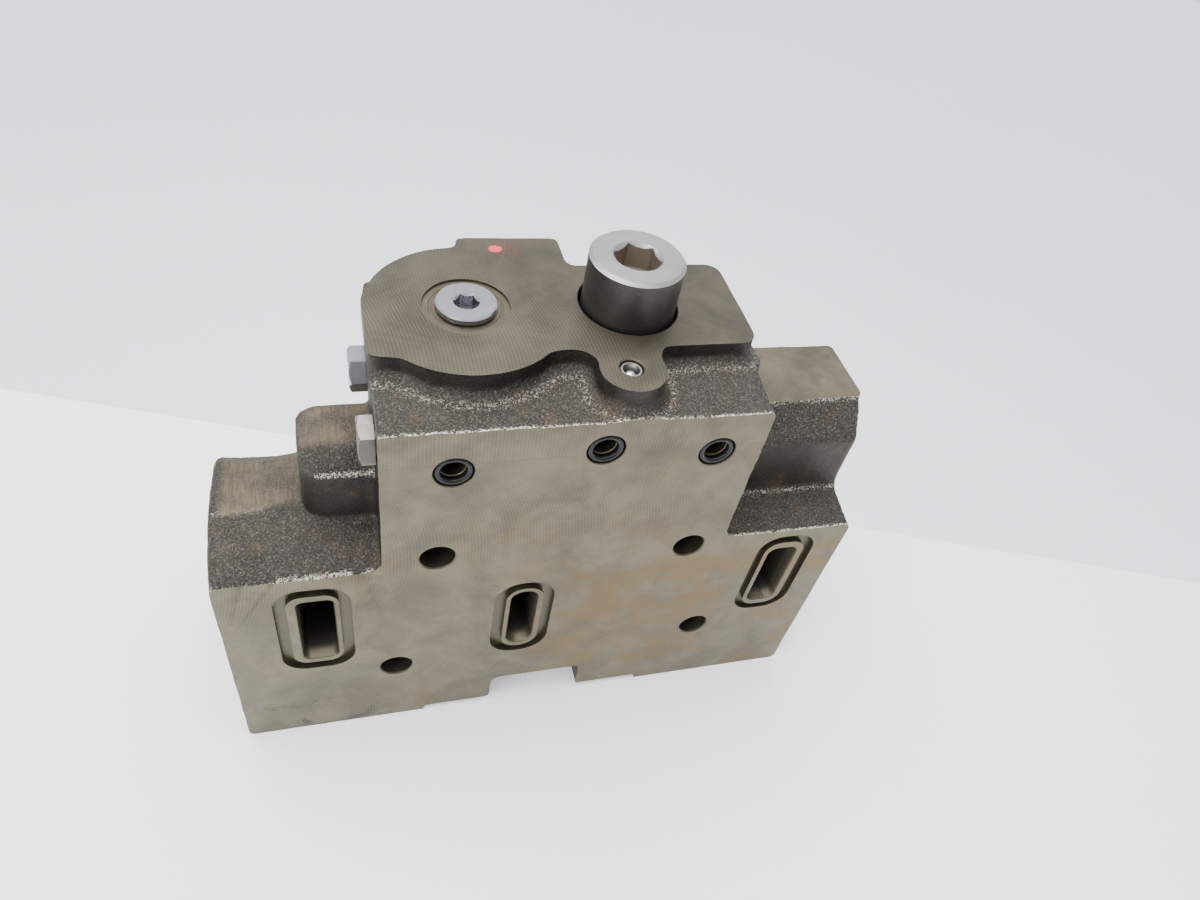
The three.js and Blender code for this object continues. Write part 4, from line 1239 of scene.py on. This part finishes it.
def spring(node, axis, shape, centre, moving, fixed_end, free_end):
    """A coil whose turns are spread evenly between its fixed end and its free end; the body it
    pushes is not used.
    """
    radius, wire, turns = shape
    lo, hi = min(fixed_end, free_end), max(fixed_end, free_end)
    item = new_object("visual_" + node, *coil(radius, wire, turns, lo, hi, centre, axis),
                      [spring_wire()], 60)
    start, end = np.array(centre, float), np.array(centre, float)
    start[axis], end[axis] = fixed_end, free_end
    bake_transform(item)
    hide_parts(node)


def build_spool():
    """Spool: lands with balancing grooves, waists between them and a spring pocket at each end."""
    p = bpy.context.scene.spool_sizes
    r, waist, pocket = mm(p.land), mm(p.waist), mm(p.pocket)
    left, right = span("main_spool", 0)
    rings = [(left + 20, 0), (left + 20, pocket), (left + 0.5, pocket), (left, pocket + 0.5)]
    rings += edged(left, r, 1) + groove_rings([left + 3.0], r)
    for a, b in ((30, 77), (105, 152.5), (180.5, 230)):
        rings += [(a - 0.3, r), (a, r - 0.3), (a + 2.2, waist), (b - 2.2, waist),
                  (b, r - 0.3), (b + 0.3, r)]
        if b < 200:
            rings += groove_rings([b + 7, b + 13.5, b + 20], r)
    rings += groove_rings([right - 3.5], r)
    rings += edged(right, r, -1)[::-1] + [(right, pocket + 0.5), (right - 0.5, pocket),
                                         (right - 20, pocket), (right - 20, 0)]
    add_piece("main_spool", rings, middle("main_spool"), 0, ground_steel(), "ground_steel",
              "spool", steps=128)


def build_ends():
    """End plugs with a hexagon socket and a threaded rim, their seals, the spring seats with a
    long nose and the coils that centre the spool. The right end mirrors the left."""
    p = bpy.context.scene.spool_sizes
    centre = middle("main_spool")
    plug_rings = socket_rings(0.6, 1, 6, mm(p.end_socket), END_TURN, 96)
    plug_rings += edged(0.6, 14.7, 1, 1.0) + thread_rings(2.2, 7.4, 14.7, 0.6)
    plug_rings += [(8, 14.7), (8, 11.9), (11, 11.9), (11, 14.7), (13, 14.7), (13.4, 14.3),
                   (13.4, 0)]
    seat_rings = [(13.7, 0)] + edged(13.7, 10.5, 1) + [(15.1, 10.5), (15.5, 10.1), (15.5, 4.2),
                                                      (16.1, 3.6), (25.4, 3.6), (26, 3.0), (26, 0)]
    steel = "turned_steel"
    for side in ("left", "right"):
        left = side == "left"
        plug_shape, seat_shape = plug_rings, seat_rings
        if not left:
            plug_shape, seat_shape = mirrored_rings(plug_rings), mirrored_rings(seat_rings)
        add_piece(f"{side}_end_plug", plug_shape, centre, 0, turned_steel(), steel)
        add_piece(f"{side}_spring_seat", seat_shape, centre, 0, turned_steel(), steel)
        seal(f"{side}_end_plug_oring", 0, 13.3, 1.1, 9.5 if left else LENGTH - 9.5)
        ends = (15.8, 42.9) if left else (LENGTH - 15.8, LENGTH - 42.9)
        spring(f"{side}_centring_spring", 0, CENTRING_COIL, centre, "spool", *ends)


def build_relief():
    """Relief valve, turned about one upright axis: cap with socket and thread, sleeve with a
    cross of drilled holes, seals, conical poppet and spring."""
    p = bpy.context.scene.relief_sizes
    centre = middle("relief_cap")
    top = span("relief_cap", 2)[1]
    r, flats = mm(p.cap), mm(p.socket)
    rings = socket_rings(top, -1, 10, flats, CAP_TURN)
    rings += [(top, r - 1.25), (top - 1.1, r), (190.4, r), (190, r - 0.4), (190, 16.2),
              (187.2, 16.2), (187.2, 14), (184, 14), (184, 16.2)]
    rings += thread_rings(157.5, 183.4, 16.2, 0.9)[::-1]
    rings += [(156.3, 15.5), (156.3, 6.8), (156.8, 6.4), (185, 6.4), (186.5, 0)]
    add_piece("relief_cap", rings, centre, 2, blackened_cap(), "turned_steel", steps=144)
    seal("relief_cap_oring", 2, 15.2, 1.1, 185.6)
    sleeve = [(119, 4.0), (119, 9.2), (119.5, 9.7), (128.6, 9.7), (128.6, 8.4), (132.4, 8.4),
              (132.4, 9.7), (134.6, 9.7), (134.6, 7.1), (139.4, 7.1), (139.4, 9.7),
              (152.3, 9.7), (152.3, 15.4), (152.7, 15.8), (155.6, 15.8), (156, 15.4),
              (156, 6.3), (155.7, 6), (128, 6), (128, 4)]
    item = add_turned("relief_sleeve", sleeve, centre, 2, turned_steel(), closed=True)
    for axis in (0, 1):
        lo, hi = centre[axis] - 12, centre[axis] + 12
        rings = [(lo, 0), (lo, 1.5), (hi, 1.5), (hi, 0)]
        hole = turned(rings, (centre[0], centre[1], 130.5), axis, 32)
        carve(item, new_object("drill", *hole, [turned_steel()]))
    item.data.set_sharp_from_angle(angle=math.radians(SHARP))
    place_piece(item, "valve_body", "turned_steel", "relief_sleeve")
    seal("relief_sleeve_oring", 2, 8.5, 1.1, 136.2)
    ring = [(137.7, 7.6), (137.8, 7.5), (138.9, 7.5), (139, 7.6), (139, 9.5), (138.9, 9.6),
            (137.8, 9.6), (137.7, 9.5)]
    add_piece("relief_backup_ring", ring, centre, 2, backup_plastic(), "ptfe", closed=True)
    poppet = [(127, 0), (127, 2.6), (127.3, 2.95), (131, 5.92)]
    poppet += groove_rings((136, 139.5, 143), 5.92) + [(146.6, 5.92), (147, 5.5), (147, 0)]
    body = "relief_poppet"
    add_piece("relief_poppet", poppet, centre, 2, ground_steel(), "ground_steel", body)
    spring("relief_spring", 2, RELIEF_COIL, centre, body, 184.7, 147.3)


def build_check():
    """Load check valve, turned about one upright axis: screw plug with flange, socket and
    thread, seal, hollow poppet with a conical seat, and spring."""
    p = bpy.context.scene.relief_sizes
    centre = middle("check_plug")
    top = span("check_plug", 2)[1]
    r, flats = mm(p.check_flange), mm(p.check_socket)
    rings = socket_rings(top, -1, 6, flats, CHECK_TURN)
    rings += [(top, r - 0.4), (top - 0.4, r),
              (197.4, r), (197.1, r - 0.3), (197.1, 7.6), (194, 7.6), (194, 8.2)]
    rings += thread_rings(184, 193.4, 8.2, 0.7)[::-1]
    rings += [(183, 7.6), (183, 5.5), (183.3, 5.2), (191, 5.2), (191.8, 0)]
    add_piece("check_plug", rings, centre, 2, zinc_plate(), "zinc_plated_steel", steps=144)
    seal("check_plug_oring", 2, 9.0, 1.0, 195.6)
    poppet = [(159.4, 0), (159.4, 3.6), (159.6, 3.95), (164.8, 8.25), (165.2, 8.42)]
    poppet += groove_rings((169, 172), 8.42) + [(176.6, 8.42), (177, 8.0), (177, 5.9), (176.7, 5.6),
                                              (168, 5.6), (168, 0)]
    body = "check_poppet"
    add_piece("check_poppet", poppet, centre, 2, ground_steel(), "ground_steel", body)
    spring("check_spring", 2, CHECK_COIL, centre, body, 190.7, 168.3)


def build_shuttle():
    """Shuttle valve, turned about one level axis: hexagon plug, seal, seat and ball."""
    p = bpy.context.scene.relief_sizes
    centre = middle("shuttle_seat")
    rings = hexagon_head(54.2, HEAD_SEAT, mm(p.shuttle_hexagon), SHUTTLE_TURN)
    rings += [(HEAD_SEAT, 5.3), (62.6, 5.3), (62.6, 5.5), (62.8, 5.7), (63.7, 5.7), (64, 5.4),
              (64, 2), (61, 2), (60.4, 0)]
    # the shuttle plug's zinc is painted darker, as painted shade for its dark facets
    add_piece("shuttle_plug", rings, centre, 0, zinc_with_painted_shade(), "zinc_plated_steel", steps=144)
    seal("shuttle_plug_oring", 0, 6.5, 0.8, 61.4)
    seat = [(64.3, 3.08), (64.3, 5.3), (64.7, 5.7), (75.3, 5.7), (75.7, 5.3), (75.7, 2),
            (73, 2), (73, 3.08)]
    add_piece("shuttle_seat", seat, centre, 0, turned_steel(), "turned_steel", closed=True)
    add_piece("shuttle_ball", ball_rings(68.65, 3.0), centre, 0, ground_steel(), "ground_steel",
              "shuttle_ball", steps=48, smooth=80)


def build_sensing():
    """Load-sensing piston, turned about one level axis: hexagon plug, seal, piston, spring."""
    p = bpy.context.scene.relief_sizes
    centre = middle("ls_piston")
    rings = hexagon_head(53, HEAD_SEAT, mm(p.sensing_hexagon), SENSING_TURN)
    rings += [(HEAD_SEAT, 4.5), (62.4, 4.5), (62.4, 4.7), (66.7, 4.7), (67, 4.4), (67, 0)]
    add_piece("ls_plug", rings, centre, 0, zinc_plate(), "zinc_plated_steel", steps=144)
    seal("ls_plug_oring", 0, 5.6, 0.7, 61.2)
    piston = [(78, 0)] + edged(78, 4.92, 1, 0.3)
    piston += [(80.5, 4.92), (80.5, 4.2), (82.5, 4.2), (82.5, 4.92), (85.2, 4.92), (85.5, 4.6),
               (85.5, 0)]
    body = "sensing_piston"
    add_piece("ls_piston", piston, centre, 0, ground_steel(), "ground_steel", body)
    spring("ls_spring", 0, SENSING_COIL, centre, body, 67.3, 77.7)


def build_expander():
    """Expander plug: a thin sleeve turned about an upright axis, with a ball pressed into it."""
    centre = middle("expander_sleeve")
    sleeve = [(187, 2.3), (187, 3.8), (187.2, 4.0), (188.5, 4.0), (188.7, 3.85), (189.1, 3.85),
              (189.3, 4.0), (196.3, 4.0), (196.6, 3.75), (196.6, 3.1), (196.4, 2.98)]
    add_piece("expander_sleeve", sleeve, centre, 2, turned_steel(), "turned_steel", steps=64,
              closed=True)
    add_piece("expander_ball", ball_rings(193, 2.5), centre, 2, ground_steel(), "ground_steel",
              steps=48, smooth=80)


def build_port_seals():
    """Three tori that lie in the ring seats of the round face ports."""
    for side in ("left", "middle", "right"):
        seal("port_oring_" + side, 1, 5.7, 1.15, 1.4)


# ---------------------------------------------------------------- operators

def place_piece(item, body, slot, *nodes):
    """Says which body carries a piece and the CAD nodes it stands for; its material slot is not
    used.
    """
    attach(item, body)
    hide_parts(*nodes)


class VALVE_OT_housing(bpy.types.Operator):
    """Builds the iron housing: rough casting, then every milled and bored surface"""
    bl_idname = "valve.housing"
    bl_label = "Housing"

    def execute(self, context):
        place_piece(built_housing(), "valve_body", "cast_iron", "housing")
        return {"FINISHED"}


class VALVE_OT_spool(bpy.types.Operator):
    """Builds the main spool with its lands, waists and balancing grooves"""
    bl_idname = "valve.spool"
    bl_label = "Main spool"

    def execute(self, context):
        build_spool()
        return {"FINISHED"}


class VALVE_OT_ends(bpy.types.Operator):
    """Builds the plugs, seals, spring seats and centring springs at both ends of the spool"""
    bl_idname = "valve.ends"
    bl_label = "End plugs and centring springs"

    def execute(self, context):
        build_ends()
        return {"FINISHED"}


class VALVE_OT_relief(bpy.types.Operator):
    """Builds the relief valve: cap, sleeve, seals, poppet and spring"""
    bl_idname = "valve.relief"
    bl_label = "Relief valve"

    def execute(self, context):
        build_relief()
        return {"FINISHED"}


class VALVE_OT_check(bpy.types.Operator):
    """Builds the load check valve: screw plug, seal, poppet and spring"""
    bl_idname = "valve.check"
    bl_label = "Load check valve"

    def execute(self, context):
        build_check()
        return {"FINISHED"}


class VALVE_OT_shuttle(bpy.types.Operator):
    """Builds the shuttle valve: hexagon plug, seal, seat and ball"""
    bl_idname = "valve.shuttle"
    bl_label = "Shuttle valve"

    def execute(self, context):
        build_shuttle()
        return {"FINISHED"}


class VALVE_OT_sensing(bpy.types.Operator):
    """Builds the load-sensing piston with its hexagon plug, seal and spring"""
    bl_idname = "valve.sensing"
    bl_label = "Load-sensing piston"

    def execute(self, context):
        build_sensing()
        return {"FINISHED"}


class VALVE_OT_expander(bpy.types.Operator):
    """Builds the expander sleeve and its ball that seal the drilling in the pad"""
    bl_idname = "valve.expander"
    bl_label = "Expander plug"

    def execute(self, context):
        build_expander()
        return {"FINISHED"}


class VALVE_OT_port_seals(bpy.types.Operator):
    """Builds the three sealing rings on the front joint face"""
    bl_idname = "valve.port_seals"
    bl_label = "Joint face seals"

    def execute(self, context):
        build_port_seals()
        return {"FINISHED"}


class VALVE_OT_stage(bpy.types.Operator):
    """Builds the table top, the lights, the world and the camera"""
    bl_idname = "valve.stage"
    bl_label = "Stage"

    def execute(self, context):
        scene = context.scene
        settings = scene.stage_settings
        floor = Finish("table_top")
        haze = floor.noise(0.01, 3.0)
        shade = floor.blend(haze, tuple(settings.floor), scaled(settings.floor, 1.02))
        floor.surface(shade, 0.4 + haze * 0.2, 0.0, Specular_IOR_Level=0.2)
        glow(floor, shade, 0.42)
        reach, edge_left, edge_right, drop = 2600.0, 1048.0, -664.0, -420.0
        points = np.array([[-reach, edge_left, 0.0], [-reach, -reach, 0.0],
                           [reach, -reach, 0.0], [reach, edge_right, 0.0]])
        top = new_object("table_top", points, [[0, 1, 2, 3]], [floor.material])
        wall = Finish("wall_paint")
        tint = wall.noise(0.004, 2.0)
        paint = wall.blend(tint, tuple(settings.wall), scaled(settings.wall, 1.03))
        wall.surface(paint, 0.8 + tint * 0.1, 0.0)
        glow(wall, paint, 0.33)
        points = np.array([[-reach, edge_left, drop], [reach, edge_right, drop],
                           [reach + 900, 2600.0, drop], [-reach, 4200.0, drop]])
        back = new_object("wall", points, [[0, 1, 2, 3]], [wall.material])
        room = Finish("room_wall")
        dim = room.noise(0.003, 2.0)
        dark = room.blend(dim, (0.10, 0.10, 0.105), (0.16, 0.16, 0.165))
        room.surface(dark, 0.8 + dim * 0.1, 0.0)
        near, low, high = -1500.0, -100.0, 1500.0
        points = np.array([[-reach, near, low], [near, -reach, low], [reach, -reach, low],
                           [reach, -reach, high], [near, -reach, high], [-reach, near, high]])
        new_object("room_wall", points, [[0, 1, 4, 5], [1, 2, 3, 4]], [room.material])
        add_area("overhead", (-120, 120, 900), (0, 0, 0), 900, settings.key)
        add_area("side", (-700, -500, 520), (0, 0, 60), 500, settings.fill)
        world = bpy.data.worlds.new("studio")
        world.use_nodes = True
        sky = world.node_tree.nodes["Background"]
        sky.inputs["Color"].default_value = (0.92, 0.95, 1.0, 1.0)
        sky.inputs["Strength"].default_value = 1.5
        scene.world = world
        scene.camera = viewing_camera(settings.lens)
        return {"FINISHED"}


def glow(finish, shade, strength):
    """A little light of its own, as an overexposed backdrop has."""
    plug(finish.tree, shade, finish.shader.inputs["Emission Color"])
    finish.shader.inputs["Emission Strength"].default_value = strength


def placed(right, up, back, place):
    """A matrix with these three axes at a place in metres."""
    return Matrix([[right[k], up[k], back[k], place[k]] for k in range(3)] + [[0, 0, 0, 1]])


def add_area(name, place, target, size, power):
    """A square light at a place, turned to face a target."""
    data = bpy.data.lights.new(name, "AREA")
    data.size = size * MM
    data.energy = power
    light = bpy.data.objects.new(name, data)
    bpy.context.scene.collection.objects.link(light)
    start = np.array(place) * MM
    away = start - np.array(target) * MM
    away /= np.linalg.norm(away)
    side = np.cross([0, 1, 0.01], away)
    side /= np.linalg.norm(side)
    up = np.cross(away, side)
    light.matrix_world = placed(side, up, away, start)


def viewing_camera(lens):
    """Camera above the front left of the valve, looking down on it at about 45 degrees."""
    data = bpy.data.cameras.new("viewer")
    data.lens = lens
    data.sensor_width = 36.0
    camera = bpy.data.objects.new("viewer", data)
    bpy.context.scene.collection.objects.link(camera)
    right = (0.95820, -0.23841, 0.15812)
    down = (-0.06820, -0.72714, -0.68310)
    ahead = (0.27784, 0.64376, -0.71301)
    place = (np.array([52.6, -191.4, 385.6]) - ORIGIN) * MM
    camera.matrix_world = placed(right, [-v for v in down], [-v for v in ahead], place)
    return camera


class VALVE_PT_builder(bpy.types.Panel):
    """Lists the operators that build the valve section"""
    bl_idname = "VALVE_PT_builder"
    bl_label = "Valve section"
    bl_space_type = "VIEW_3D"
    bl_region_type = "UI"
    bl_category = "Valve"

    def draw(self, context):
        for operator in OPERATORS:
            self.layout.operator(operator.bl_idname)


OPERATORS = (
    VALVE_OT_housing, VALVE_OT_spool, VALVE_OT_ends, VALVE_OT_relief, VALVE_OT_check,
    VALVE_OT_shuttle, VALVE_OT_sensing, VALVE_OT_expander, VALVE_OT_port_seals, VALVE_OT_stage,
)
GROUPS = (
    ("casting_sizes", CastingSizes), ("opening_sizes", OpeningSizes),
    ("spool_sizes", SpoolSizes), ("relief_sizes", PlugSizes),
    ("valve_colours", ValveColours), ("stage_settings", StageSettings),
)


def register():
    for name, group in GROUPS:
        bpy.utils.register_class(group)
        setattr(bpy.types.Scene, name, bpy.props.PointerProperty(type=group))
    for item in (*OPERATORS, VALVE_PT_builder):
        bpy.utils.register_class(item)


def unregister():
    for item in (VALVE_PT_builder, *reversed(OPERATORS)):
        bpy.utils.unregister_class(item)
    for name, group in reversed(GROUPS):
        delattr(bpy.types.Scene, name)
        bpy.utils.unregister_class(group)


def main():
    register()
    for operator in OPERATORS:
        family, name = operator.bl_idname.split(".")
        getattr(getattr(bpy.ops, family), name)()


if __name__ == "__main__":
    main()
